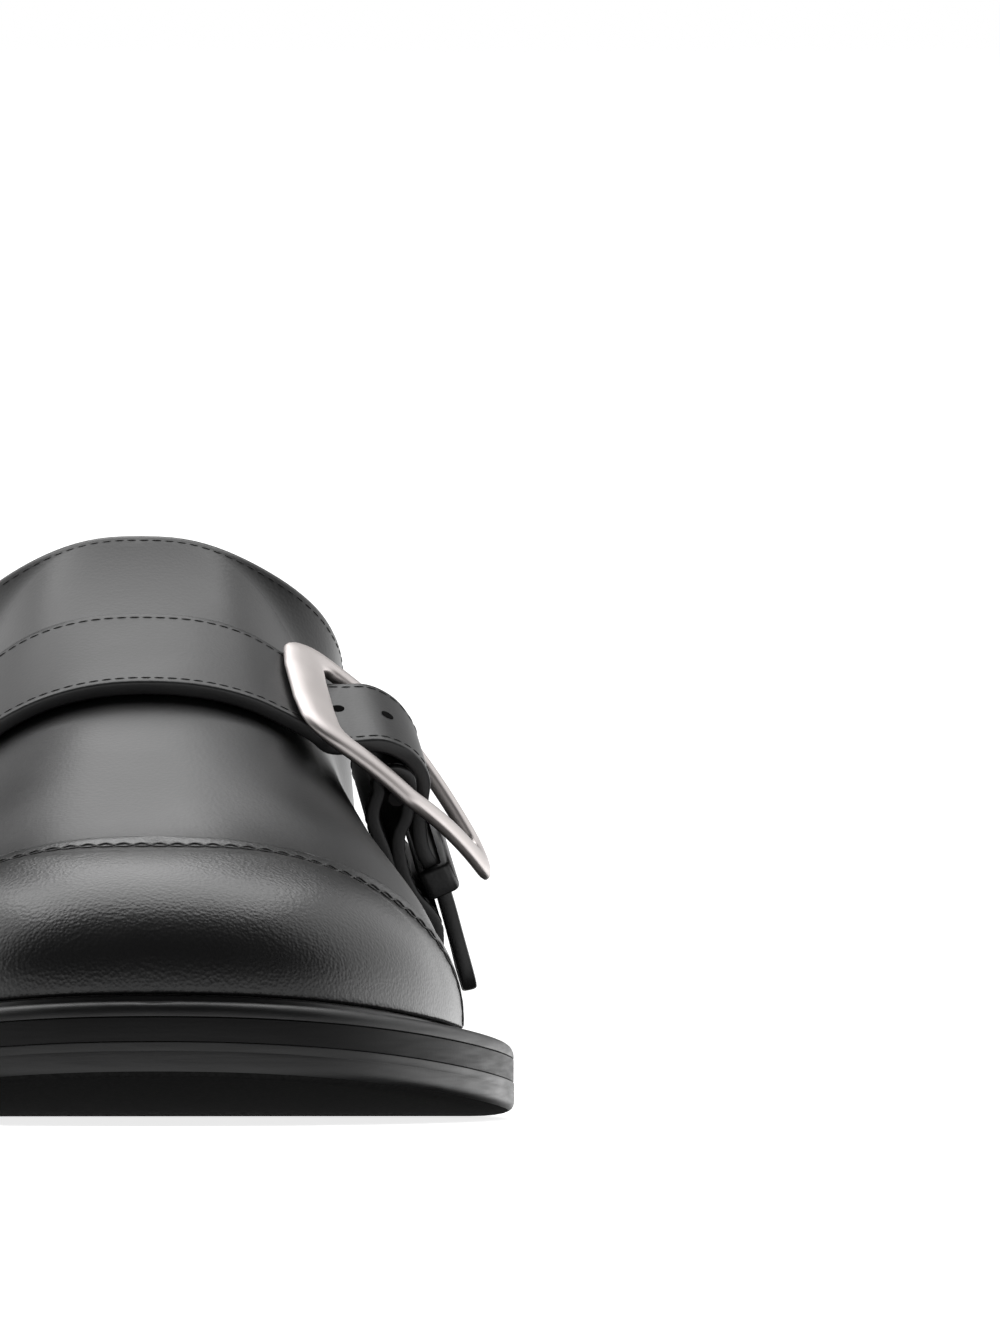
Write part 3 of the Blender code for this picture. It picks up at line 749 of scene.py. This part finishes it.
def sole_stations(inset, last=None):
    turns = [math.pi / 2 * i / END_STEPS for i in range(END_STEPS)]
    stations = [heel_station(turn, inset) for turn in turns]
    if last is not None:
        return stations + list(np.linspace(HEEL_CENTRE, last, BREAST_STEPS))
    stations += list(np.linspace(HEEL_CENTRE, TOE_CENTRE, SIDE_STEPS))
    stations += [toe_station(math.pi / 2 - turn, inset) for turn in reversed(turns)]
    return stations


def sole_ring(inset, height, stations):
    """One closed loop round the sole: forward along the lateral side and back along the medial one."""
    lateral = [(half_width("lateral", s, inset), s, height(s)) for s in stations]
    medial = [(-half_width("medial", s, inset), s, height(s)) for s in stations]
    return lateral + medial[::-1]


def above(rise):
    return lambda s: sole_bottom(s) + rise


def sole_edge(station, inset):
    return inset


def feather_edge(station, inset):
    return feather_inset(station) + inset


def tucked_edge(station, inset):
    """The outsole's lower edge curves far under at the sides and little at the toe."""
    return inset * (1 - TOE_TUCK * ease((station - TOE_CENTRE) / (SOLE_LENGTH - TOE_CENTRE)))


def side_profile(low, high, inset, low_round, high_round, dents=(), steps=CORNER_STEPS):
    """Rows of (inset, rise) up a layer's side: rounded corners, and dents of (rise, half width, depth)."""
    turns = [math.pi / 2 * k / steps for k in range(steps + 1)]
    corner = [(1 - math.sin(turn), 1 - math.cos(turn)) for turn in turns]
    rows = [(inset + low_round * a, low + low_round * b) for a, b in corner]
    for rise, half, depth in dents:
        rows += [(inset, rise - half), (inset + depth, rise - half / 3)]
        rows += [(inset + depth, rise + half / 3), (inset, rise + half)]
    return rows + [(inset + high_round * b, high - high_round * a) for a, b in corner]


def plate(name, levels, base, surfaces, last=None, under=0):
    """A plate with the sole's outline: levels are (inset, height by station), from the bottom up.

    The lowest bands of faces, as many as under says, take the underside's surface.
    """
    points = []
    for inset, height in levels:
        edge = lambda s, inset=inset: base(s, inset)
        stations = sole_stations(edge, last)
        points += sole_ring(edge, height, stations)
    rows = len(stations)
    size = 2 * rows
    faces = loop_faces(len(levels), size, False)
    kinds = [1] * (under * size) + [0] * (len(faces) - under * size)
    for start, flip in ((0, True), ((len(levels) - 1) * size, False)):
        for i in range(rows - 1):
            face = (start + i, start + i + 1, start + size - 2 - i, start + size - 1 - i)
            faces.append(tuple(reversed(face)) if flip else face)
            kinds.append(1 if flip else 0)
    make(name + "_piece", points, faces, surfaces, kinds, [name])


def outsole_profile():
    """The outsole's side: its lower edge curves far under, with a fine line below the upper edge."""
    rows = []
    for k in range(TUCK_STEPS + 1):
        turn = math.pi / 2 * k / TUCK_STEPS
        rows.append((TUCK_IN * (1 - math.sin(turn)) ** 2, TUCK_RISE * (1 - math.cos(turn))))
    line = (OUTSOLE - OUTSOLE_LINE_BELOW, *OUTSOLE_LINE_SIZE)
    upper = side_profile(TUCK_RISE, OUTSOLE, 0.0, 0.0, EDGE_ROUND, [line])
    return rows + upper[CORNER_STEPS + 1 :]


def on_sole(rows):
    """Levels of a plate from rows of (inset, rise above the sole's underside)."""
    return [(inset, above(rise)) for inset, rise in rows]


def build_sole():
    top = HEEL_HEIGHT - GAP
    lines = [(top * share, *HEEL_LINE_SIZE) for share in HEEL_LINES]
    rows = side_profile(0.0, top, HEEL_INSET, *HEEL_ROUND, lines)
    levels = [(inset + HEEL_TAPER * (1 - z / top), lambda s, z=z: z) for inset, z in rows]
    plate("heel", levels, sole_edge, [SOLE_EDGE, TREAD], HEEL_BREAST)
    levels = on_sole(outsole_profile())
    plate("outsole", levels, tucked_edge, [SOLE_EDGE, TREAD], None, TREAD_BANDS)
    low = OUTSOLE + GAP - MIDSOLE_FILL
    high = OUTSOLE + GAP + MIDSOLE + MIDSOLE_FILL
    levels = on_sole(side_profile(low, high, EDGE_INSET, EDGE_ROUND, EDGE_ROUND))
    plate("midsole", levels, sole_edge, [MIDSOLE_EDGE, MIDSOLE_EDGE])
    low = SOLE_STACK - WELT
    levels = on_sole(side_profile(low, SOLE_STACK + INSOLE_RISE, INSOLE_INSET, *INSOLE_ROUND))
    plate("insole", levels, feather_edge, [LINING, LINING])
    build_welt(low)


def build_welt(low):
    """A strip round the edge with a lip against the upper and a stitched channel beside it."""
    top = low + WELT
    lip = top + LIP_RISE
    channel = top - CHANNEL_DEEP
    rows = side_profile(low, top, EDGE_INSET, EDGE_ROUND, WELT_ROUND, (), WELT_CORNER_STEPS)
    loops = [((lambda s, d=d: d), z) for d, z in rows]
    inside = [(-3.2, top), (-2.9, channel), (-2.2, channel), (-1.9, top), (-1.85, lip - 0.45)]
    inside += [(-1.65, lip - 0.12), (-1.3, lip), (-0.9, lip - 0.05), (-0.55, lip - 0.3), (-0.5, top)]
    inside += [(2.4, top), (2.4, low)]
    loops += [((lambda s, d=d: feather_inset(s) + d), z) for d, z in inside]
    points = []
    for inset, rise in loops:
        stations = sole_stations(inset)
        points += sole_ring(inset, above(rise), stations)
    faces = loop_faces(len(loops), 2 * len(stations), True)
    make("welt_piece", points, faces, [SOLE_EDGE], None, ["welt"])
    row = lambda s: feather_inset(s) - WELT_ROW
    line = sole_ring(row, above(top - WELT_SUNK), sole_stations(row))
    stitches("welt_stitches", [(line, [(0, 0, 1)] * len(line))], WELT_PITCH, WELT_THREAD, WELT_SHARE)


# Upper

UPPER_COLUMNS = 52
HEEL_STEPS = 16
QUARTER_STEPS = 26
THROAT_STEPS = 40
VAMP_STEPS = 44
TOE_STEPS = 26
CAP_COLUMNS = 60
CAP_STEPS = 48
CAP_CROWD = 1.4
SEAM_STEPS = 220
SEAM_FOOT = 0.05
EDGE_TRIM = 0.9
CROWN_NEAR = 5.0


def spread(start, end, steps, power=1.0):
    """Values from start towards end, closer together at the start when power is above 1."""
    return [start + (end - start) * (k / steps) ** power for k in range(steps)]


def upper_stations():
    stations = [heel_station(math.pi / 2 * i / HEEL_STEPS, feather_inset) for i in range(HEEL_STEPS)]
    stations += spread(HEEL_CENTRE, COLLAR_ARCH, QUARTER_STEPS)
    rising = [math.sin(math.pi / 2 * i / THROAT_STEPS) for i in range(THROAT_STEPS)]
    stations += [COLLAR_ARCH + (THROAT - COLLAR_ARCH) * share for share in rising]
    stations += spread(THROAT, SEAM_SIDE, VAMP_STEPS)
    return stations + toe_stations(TOE_STEPS)


def toe_stations(steps, power=1.0):
    reach = toe_station(math.pi / 2, feather_inset) - TOE_CENTRE
    seam_turn = math.asin(((SEAM_SIDE - TOE_CENTRE) / reach) ** (END_POWER / 2))
    turns = spread(seam_turn, math.pi / 2, steps, power) + [math.pi / 2]
    return [toe_station(turn, feather_inset) for turn in turns]


def upper_grid(stations, columns, rise):
    """Both sides of the upper over these stations: points, faces, outward normals, and each point's place.

    The lines over the toe crowd together where the ridge meets the seam, so the points near there share
    one normal.
    """
    points = []
    faces = []
    for side in ("medial", "lateral"):
        start = len(points)
        for station in stations:
            ray = Ray(side, station)
            first = ray.turn_at(ray.foot_height + rise) if rise > 0 else 0.0
            points += [ray.point(turn) for turn in np.linspace(first, ray.end(), columns)]
        for face in grid_faces(len(stations), columns):
            face = tuple(i + start for i in face)
            faces.append(face if side == "lateral" else face[::-1])
    points, faces, index = merged(points, faces)
    normals = surface_normals(points, faces)
    middle = np.array((0.0, SOLE_LENGTH / 2, SOLE_STACK))
    if np.sum((points - middle) * normals) < 0:
        normals = -normals
        faces = [face[::-1] for face in faces]
    crown = Ray("lateral", SEAM_SIDE).point(math.pi / 2)
    away = np.linalg.norm(points - crown, axis=1)
    if (away < CROWN_NEAR).any():
        ring = (away > CROWN_NEAR) & (away < 2 * CROWN_NEAR)
        normals[away < CROWN_NEAR] = unit(normals[ring].mean(axis=0))
    return points, faces, normals, index.reshape(2, len(stations), columns)


def edge_line(points, normals, ways, order, inset, off):
    """A line this far in from the rim, this far off the surface."""
    order = [i for i in order if i in ways]
    line = [points[i] - ways[i] * inset + normals[i] * off for i in order]
    return np.array(line), np.array([normals[i] for i in order])


def build_upper():
    stations = upper_stations()
    points, faces, normals, index = upper_grid(stations, UPPER_COLUMNS, 0.0)
    _, ways = rim_ways(points, faces, normals)
    collar = [s for s in range(len(stations)) if stations[s] <= THROAT + 1e-6]
    order = [index[1, s, -1] for s in collar] + [index[0, s, -1] for s in reversed(collar)]
    line = edge_line(points, normals, ways, order, COLLAR_ROW, -COLLAR_SUNK)
    foot = index[:, :, 0].reshape(-1)
    normals[foot, 2] = 0.0
    normals[foot] = unit(normals[foot])
    verts, out, kinds = shell(points, faces, normals, -WALL, 0.0, EDGE_TRIM)
    surfaces = [UPPER_LEATHER, LINING, UPPER_LEATHER]
    make("upper_piece", verts, out, surfaces, kinds, ["upper"], 60)
    stitches("collar_stitches", [line])


def seam_line(steps, station=SEAM_SIDE):
    """Points of the toe cap's edge, from the lateral side over the ridge to the medial one."""
    turns = np.linspace(SEAM_FOOT, math.pi / 2, steps)
    lateral = Ray("lateral", station)
    medial = Ray("medial", station)
    return np.array([lateral.point(t) for t in turns] + [medial.point(t) for t in turns[-2::-1]])


def seam_level(seam, height):
    """How far up the seam a height is, from 0 at its lower end to 1 at the ridge."""
    low = seam[0, 2]
    return ease((height - low) / (seam[:, 2].max() - low))


def dip(points, seam):
    """How far the cap's outside is pressed in along its stitched edge."""
    away = np.array([np.linalg.norm(seam - point, axis=1).min() for point in points])
    press = [ease(d / CAP_DIP_END) * (1 - ease((d - CAP_DIP_END) / CAP_DIP_FADE)) for d in away]
    level = [seam_level(seam, height) for height in points[:, 2]]
    return CAP_DIP * np.array(press) * np.array(level)


def build_cap():
    stations = toe_stations(CAP_STEPS, CAP_CROWD)
    points, faces, normals, _ = upper_grid(stations, CAP_COLUMNS, FOOT_RISE)
    verts, out, kinds = shell(points, faces, normals, CAP_SUNK, GAP + CAP_THICK, CAP_RIM, 6, 0.8)
    seam = seam_line(SEAM_STEPS)
    verts[: len(points)] -= normals * dip(points, seam)[:, None]
    surfaces = [CAP_LEATHER, LINING, CAP_LEATHER]
    make("toe_cap_piece", verts, out, surfaces, kinds, ["toe_cap"], 60)
    tree = BVHTree.FromPolygons(verts[: len(points)].tolist(), faces)
    ropes(tree, seam)


def ropes(tree, seam):
    """Two threads that wind round each other along the cap's edge."""
    run = run_along(seam)
    marks = np.arange(0, run[-1], ROPE_PITCH / ROPE_STEPS)
    line = at_marks(seam, run, marks)
    along = unit(np.gradient(line, axis=0))
    behind = at_marks(seam_line(SEAM_STEPS, SEAM_SIDE - 2), run, marks)
    rises = unit(np.cross(along, line - behind))
    rises *= np.where(rises[:, 2:] < 0, -1, 1)
    points = []
    faces = []
    for phase in (0, math.pi):
        path = []
        ups = []
        for here, way, up, mark in zip(line, along, rises, marks):
            ahead = unit(np.cross(up, way))
            ahead *= math.copysign(1, ahead[1])
            level = seam_level(seam, here[2])
            sway = ROPE_SWAY * (ROPE_FOOT_SWAY + (1 - ROPE_FOOT_SWAY) * level)
            row = ROPE_FOOT_ROW + (ROPE_ROW - ROPE_FOOT_ROW) * level
            row += sway * math.sin(2 * math.pi * mark / ROPE_PITCH + phase)
            target = here + ahead * row + up * ROPE_DROP
            hit, normal, _, _ = tree.ray_cast(target.tolist(), (-up).tolist())
            if hit is not None:
                path.append(np.array(hit))
                ups.append(np.array(normal))
        tube, tube_faces = thread_tube(np.array(path), np.array(ups), ROPE_THICK)
        faces += [tuple(i + len(points) for i in face) for face in tube_faces]
        points += list(tube)
    make("cap_stitches", points, faces, [THREAD_BLACK], sharp=80)


def thread_tube(path, ups, thick):
    """A round thread along a path over a surface, half sunk into it."""
    along = unit(np.gradient(path, axis=0))
    aside = unit(np.cross(ups, along))
    points = []
    for here, up, side in zip(path, ups, aside):
        for k in range(THREAD_SIDES):
            turn = 2 * math.pi * k / THREAD_SIDES
            points.append(here + thick / 2 * (math.cos(turn) * side + math.sin(turn) * up))
    return points, loop_faces(len(path), THREAD_SIDES, False)


# Strap and buckle

WIDTH_WAY = np.array((0.0, math.cos(STRAP_SLOPE), -math.sin(STRAP_SLOPE)))
STRAP_MIDDLE = np.array((0.0, STRAP_STATION, STRAP_HEIGHT))
TAB_WIDTH_WAY = unit(np.array((0.10, 0.878, -0.468)))
TAB_UP = np.array((0.0, math.sin(STRAP_SLOPE), math.cos(STRAP_SLOPE)))
TAB_UP = unit(TAB_UP - TAB_WIDTH_WAY * TAB_UP.dot(TAB_WIDTH_WAY))
TAB_ACROSS = np.cross(TAB_WIDTH_WAY, TAB_UP)
TAB_MIDDLE = STRAP_MIDDLE + TAB_FORWARD * WIDTH_WAY
STRAP_COLUMNS = 9
ACROSS_STEPS = 4
ALONG_STEPS = 6
MEDIAL_ROWS = 16
LATERAL_ROWS = 5
BUCKLE_STRAP_ROWS = 6


def on_upper(side, turn, width, off):
    """A point this far off the upper, on the line of the strap this far from its middle."""
    low = COLLAR_ARCH
    high = SEAM_SIDE
    for _ in range(26):
        station = (low + high) / 2
        point = Ray(side, station).point(turn)
        if WIDTH_WAY.dot(point - STRAP_MIDDLE) < width:
            low = station
        else:
            high = station
    step = 0.01
    lower = Ray(side, station).point(turn - step)
    upper = Ray(side, station).point(min(turn + step, math.pi / 2))
    along = Ray(side, station + 0.5).point(turn) - Ray(side, station - 0.5).point(turn)
    normal = np.cross(upper - lower, along)
    if side == "lateral":
        normal = -normal
    return point + unit(normal) * off


def in_tab(across, up, width):
    return TAB_MIDDLE + TAB_ACROSS * across + TAB_UP * up + TAB_WIDTH_WAY * width


def widths(half):
    return np.linspace(-half, half, STRAP_COLUMNS)


def refined(rows):
    """A finer grid through rows of points across a band."""
    rows = spline(rows, ALONG_STEPS)
    return np.swapaxes(spline(np.swapaxes(rows, 0, 1), ACROSS_STEPS), 0, 1)


def band(name, grid, thick, rim, bare=0):
    """A stitched leather band with rounded edges about its middle surface, its last rows without stitches.

    Returns its outer surface and normals.
    """
    points = grid.reshape(-1, 3)
    faces = grid_faces(grid.shape[0], grid.shape[1])
    normals = surface_normals(points, faces)
    middle = np.array((0.0, STRAP_STATION, 0.0))
    top = int(np.argmax(points[:, 2]))
    if np.dot(points[top] - middle, normals[top]) < 0:
        normals = -normals
        faces = [face[::-1] for face in faces]
    verts, out, kinds = shell(points, faces, normals, -thick / 2, thick / 2, rim, 8, 0.6)
    surfaces = [STRAP_LEATHER, LINING, CUT_EDGE]
    make(name + "_piece", verts, out, surfaces, kinds, [name], 60)
    surface = grid + (normals * thick / 2).reshape(grid.shape)
    normals = normals.reshape(grid.shape)
    lines = [band_row(surface, normals, step, len(grid) - bare) for step in (1, -1)]
    stitches(name + "_stitches", lines)
    return surface, normals


def band_row(surface, normals, step, end):
    """The line of a band's stitches along its first edge, or with a step of -1 its other one."""
    line = []
    ups = []
    for row, up in zip(surface[:end, ::step], normals[:end, ::step]):
        run = run_along(row)
        line.append(at_marks(row, run, STRAP_ROW))
        ups.append(at_marks(up, run, STRAP_ROW))
    return np.array(line) - STITCH_SUNK * np.array(ups), np.array(ups)


def build_strap():
    off = STRAP_OFF + STRAP_THICK / 2
    places = widths(STRAP_HALF - STRAP_TRIM)
    rows = []
    for turn in np.linspace(STRAP_FOOT, math.pi / 2, MEDIAL_ROWS, endpoint=False):
        rows.append([on_upper("medial", turn, w, off) for w in places])
    for turn in np.linspace(math.pi / 2, STRAP_LEAVES, LATERAL_ROWS):
        rows.append([on_upper("lateral", turn, w, off) for w in places])
    plain = len(TAB_LINE) - len(TAB_NECK) - len(TAB_POINT)
    shares = [*TAB_NECK, *[1.0] * plain, *TAB_POINT]
    for (across, up), share in zip(TAB_LINE, shares):
        rows.append([in_tab(across, up, w) for w in widths(TAB_HALF * share - STRAP_TRIM)])
    bare = BARE_END_ROWS * ALONG_STEPS
    surface, normals = band("strap", refined(rows), STRAP_THICK, STRAP_TRIM, bare)
    strap_hole_shade(surface, normals)


def strap_hole_shade(surface, normals):
    """Oval discs of painted shade standing for the holes along the strap, beside the near bar and towards
    the bend.
    """
    columns = surface.shape[1]
    points = []
    faces = []
    for across, share in HOLES:
        middle = surface[:, columns // 2]
        place = (middle - TAB_MIDDLE) @ TAB_ACROSS
        row = int(np.argmin(np.abs(place - across) + 100 * (middle[:, 2] < HOLE_FLOOR)))
        column = int(round(share * (columns - 1)))
        here = surface[row, column]
        up = normals[row, column]
        along = unit(surface[row + 1, column] - surface[row - 1, column])
        aside = unit(np.cross(up, along))
        start = len(points)
        for k in range(HOLE_SIDES):
            turn = 2 * math.pi * k / HOLE_SIDES
            spread_out = HOLE_LONG / 2 * math.cos(turn) * along + HOLE_WIDE / 2 * math.sin(turn) * aside
            points.append(here + up * HOLE_LIFT + spread_out)
        faces.append(tuple(range(start, start + HOLE_SIDES)))
    make("strap_hole_shade", points, faces, [HOLE_SHADE])


BUCKLE_WAY = unit(BUCKLE_TIP - BUCKLE_BAR)
BUCKLE_OUT = np.array((-BUCKLE_WAY[1], BUCKLE_WAY[0]))
BUCKLE_LONG = float(np.linalg.norm(BUCKLE_TIP - BUCKLE_BAR))
CENTRE_BAR = BUCKLE_BAR + BUCKLE_WAY * CENTRE_ALONG + BUCKLE_OUT * CENTRE_RISE


def in_buckle(along, width, rise):
    """A point of the frame, whose face is bowed outward along its length."""
    share = along / BUCKLE_LONG
    bow = 4 * BUCKLE_BOW * share * (1 - share)
    flat = BUCKLE_BAR + BUCKLE_WAY * along + BUCKLE_OUT * (rise + bow)
    return in_tab(flat[0], flat[1], width)


def both_sides(corners):
    """Corners of one side and their mirror images, in one loop round the tip."""
    mirrored = [(along, -across, radius) for along, across, radius in corners]
    return mirrored + list(reversed(corners[:-1]))


def rounded(corners, corner_steps, side_steps):
    """A closed line round the corners, each with its own radius."""
    arcs = []
    for i, (x, y, radius) in enumerate(corners):
        here = np.array((x, y))
        before = unit(np.array(corners[i - 1][:2]) - here)
        after = unit(np.array(corners[(i + 1) % len(corners)][:2]) - here)
        half_angle = math.acos(before.dot(after)) / 2
        trim = radius / math.tan(half_angle)
        start = here + before * trim
        end = here + after * trim
        centre = here + unit(before + after) * radius / math.sin(half_angle)
        arc = []
        for t in np.linspace(0, 1, corner_steps):
            arm = (start - centre) * (1 - t) + (end - centre) * t
            arc.append(centre + unit(arm) * radius)
        arcs.append(arc)
    out = []
    for i, arc in enumerate(arcs):
        out += arc
        following = arcs[(i + 1) % len(arcs)][0]
        for k in range(1, side_steps):
            out.append(arc[-1] + (following - arc[-1]) * k / side_steps)
    return np.array(out)


def build_buckle():
    outer = rounded(both_sides(FRAME_OUTER), *FRAME_STEPS)
    inner = rounded(both_sides(FRAME_INNER), *FRAME_STEPS)
    half = BUCKLE_THICK / 2
    section = []
    for i, here in enumerate(RAIL):
        for other in (RAIL[i - 1], RAIL[(i + 1) % len(RAIL)]):
            section.append(here + RAIL_ROUND * (other - here))
    points = []
    for a, b in zip(inner, outer):
        for share, rise in section:
            along, width = a + (b - a) * share
            points.append(in_buckle(along, width, rise * half))
    faces = loop_faces(len(outer), len(section), True)
    kinds = [0] * len(faces)
    start = len(points)
    end = start + CENTRE_SIDES
    for width in (-CENTRE_HALF, CENTRE_HALF):
        for turn in np.linspace(0, 2 * math.pi, CENTRE_SIDES, endpoint=False):
            across, up = CENTRE_BAR + CENTRE_RADIUS * np.array((math.cos(turn), math.sin(turn)))
            points.append(in_tab(across, up, width))
    faces += [tuple(i + start for i in face) for face in loop_faces(2, CENTRE_SIDES, False)]
    faces += [tuple(range(start, end)), tuple(range(end, end + CENTRE_SIDES))]
    kinds += [1] * (len(faces) - len(kinds))
    # The centre bar takes the dark steel, whose darkness is partly painted shade of the strap's fold.
    make("buckle_piece", points, faces, [NICKEL, BAR_STEEL_AND_SHADE], kinds, ["buckle_frame"], 50)


def build_buckle_strap():
    """A band up the side of the upper that folds round the centre bar, with its end behind the strap."""
    off = BUCKLE_STRAP_OFF + BUCKLE_STRAP_THICK / 2
    places = widths(BUCKLE_STRAP_HALF - BUCKLE_STRAP_TRIM)
    top = Ray("lateral", BUCKLE_STRAP_STATION).turn_at(BUCKLE_STRAP_LEAVES)
    rows = []
    for turn in np.linspace(BUCKLE_STRAP_FOOT, top, BUCKLE_STRAP_ROWS):
        rows.append([on_upper("lateral", turn, w, off) for w in places])
    reach = CENTRE_RADIUS + GAP + BUCKLE_STRAP_THICK / 2
    fold = [(reach * math.cos(turn), reach * math.sin(turn)) for turn in FOLD_TURNS]
    for across, up in (*RISING_LINE, *fold, *FOLDED_LINE):
        rows.append([in_tab(CENTRE_BAR[0] + across, CENTRE_BAR[1] + up, w) for w in places])
    band("buckle_strap", refined(rows), BUCKLE_STRAP_THICK + BUCKLE_STRAP_PAD, BUCKLE_STRAP_TRIM)


def build_keeper():
    """A flat loop round the strap's end, with rounded edges."""
    way = unit(TAB_LINE[KEEPER_ROW + 1] - TAB_LINE[KEEPER_ROW - 1])
    out = np.array((-way[1], way[0]))
    points = []
    for share, along in KEEPER_SECTION:
        wall = KEEPER_THICK * share
        radius = KEEPER_ROUND[0] + (KEEPER_ROUND[1] - KEEPER_ROUND[0]) * share
        half_w = TAB_HALF + KEEPER_PLAY + wall
        half_t = STRAP_THICK / 2 + GAP + wall
        corners = [(a * half_w, b * half_t, radius) for a, b in ((-1, -1), (1, -1), (1, 1), (-1, 1))]
        loop = rounded(corners, *KEEPER_STEPS)
        for width, rise in loop:
            across, up = TAB_LINE[KEEPER_ROW] + way * along * KEEPER_LONG / 2 + out * rise
            points.append(in_tab(across, up, width))
    faces = loop_faces(len(KEEPER_SECTION), len(loop), True)
    make("keeper_piece", points, faces, [STRAP_LEATHER], None, ["strap_keeper"], 50)


# Stage

CAMERA_AT = (-0.0014, -1.150, 0.015)
FOCAL_PIXELS = 7117.0
PICTURE = (1000, 1333)
AIM_PIXELS = (350.0, 351.0)
SENSOR = 36.0
FLOOR_SIZE = 8
FLOOR_DROP = 0.0002


def build_stage():
    bpy.ops.mesh.primitive_plane_add(size=FLOOR_SIZE, location=(0, 0, -FLOOR_DROP))
    floor = bpy.context.object
    floor.name = "floor"
    floor.data.materials.append(plain_floor("floor", (0.9, 0.9, 0.9)))
    floor.visible_glossy = False
    floor.visible_diffuse = False
    camera = bpy.data.cameras.new("camera")
    camera.lens = FOCAL_PIXELS * SENSOR / PICTURE[1]
    camera.sensor_width = SENSOR
    camera.clip_end = 100
    eye = bpy.data.objects.new("camera", camera)
    eye.location = CAMERA_AT
    pan = math.atan(AIM_PIXELS[0] / FOCAL_PIXELS)
    tilt = math.atan(AIM_PIXELS[1] / FOCAL_PIXELS)
    eye.rotation_euler = (math.pi / 2 + tilt, 0, -pan)
    bpy.context.scene.collection.objects.link(eye)
    bpy.context.scene.camera = eye
    soft_light("overhead", (-0.03, 0.145, 0.55), (0.62, 0.44), 2.37)
    soft_light("behind", (-0.035, 0.49, 0.55), (0.22, 0.26), 0.475)
    build_world()
    bpy.context.scene.view_settings.view_transform = "Standard"


def soft_light(name, place, size, power):
    """A rectangle of light that faces the floor."""
    lamp = bpy.data.lights.new(name, "AREA")
    lamp.shape = "RECTANGLE"
    lamp.size = size[0]
    lamp.size_y = size[1]
    lamp.energy = power
    made = bpy.data.objects.new(name, lamp)
    made.location = place
    made.visible_camera = False
    bpy.context.scene.collection.objects.link(made)


def build_world():
    """White to the camera, and for the light it gives a set of bright and dark parts.

    They are a low bright band all round, bright ground in front of the toe, a tall card on either side, and
    a brighter foot to each card.
    """
    world = bpy.data.worlds.new("studio")
    bpy.context.scene.world = world
    graph = Graph(world)
    parts = graph.add("ShaderNodeSeparateXYZ", {"Vector": graph.place("Generated")}).outputs
    aside = graph.add("ShaderNodeMath", {0: parts["X"]})
    aside.operation = "ABSOLUTE"

    def along(axis, low, high, start, end):
        value = aside.outputs["Value"] if axis == "aside" else parts[axis]
        return graph.ranged(value, low, high, start, end)

    def product(*values):
        return graph.combined("MULTIPLY", *values)

    front = along("Y", 1.0, 0.0, -0.5, -0.1)
    tops = {"A": along("Z", 1.0, 0.02, 0.10, 0.25), "B": along("Z", 1.0, 0.05, 0.0, 0.16)}
    top = graph.add("ShaderNodeMix", {"Factor": front, **tops}).outputs["Result"]
    foot = graph.combined("MAXIMUM", along("Z", 0.02, 1.0, -0.32, -0.12), front)
    low_band = product(top, foot, along("Y", 1.05, 1.3, -0.5, 0.35))
    sides = product(along("aside", 0.0, 1.0, 0.30, 0.50), along("Y", 0.0, 1.0, -0.15, 0.15))
    tall = product(along("Z", 0.0, 1.0, 0.05, 0.25), along("Z", 1.0, 0.0, 0.82, 0.97))
    card = product(sides, tall, along("X", 1.6, 1.2, -0.5, 0.5))
    card_foot = product(sides, along("Z", 0.0, 1.2, -0.3, -0.12), along("Z", 1.0, 0.0, -0.02, 0.12))
    total = graph.combined("ADD", low_band, card, card_foot)
    seen = graph.nodes.new("ShaderNodeLightPath").outputs["Is Camera Ray"]
    strength = graph.combined("MAXIMUM", total, seen)
    graph.fill(graph.nodes["Background"], {"Strength": strength, "Color": (1, 1, 1, 1)})


build_sole()
build_upper()
build_cap()
build_strap()
build_buckle()
build_buckle_strap()
build_keeper()
build_stage()
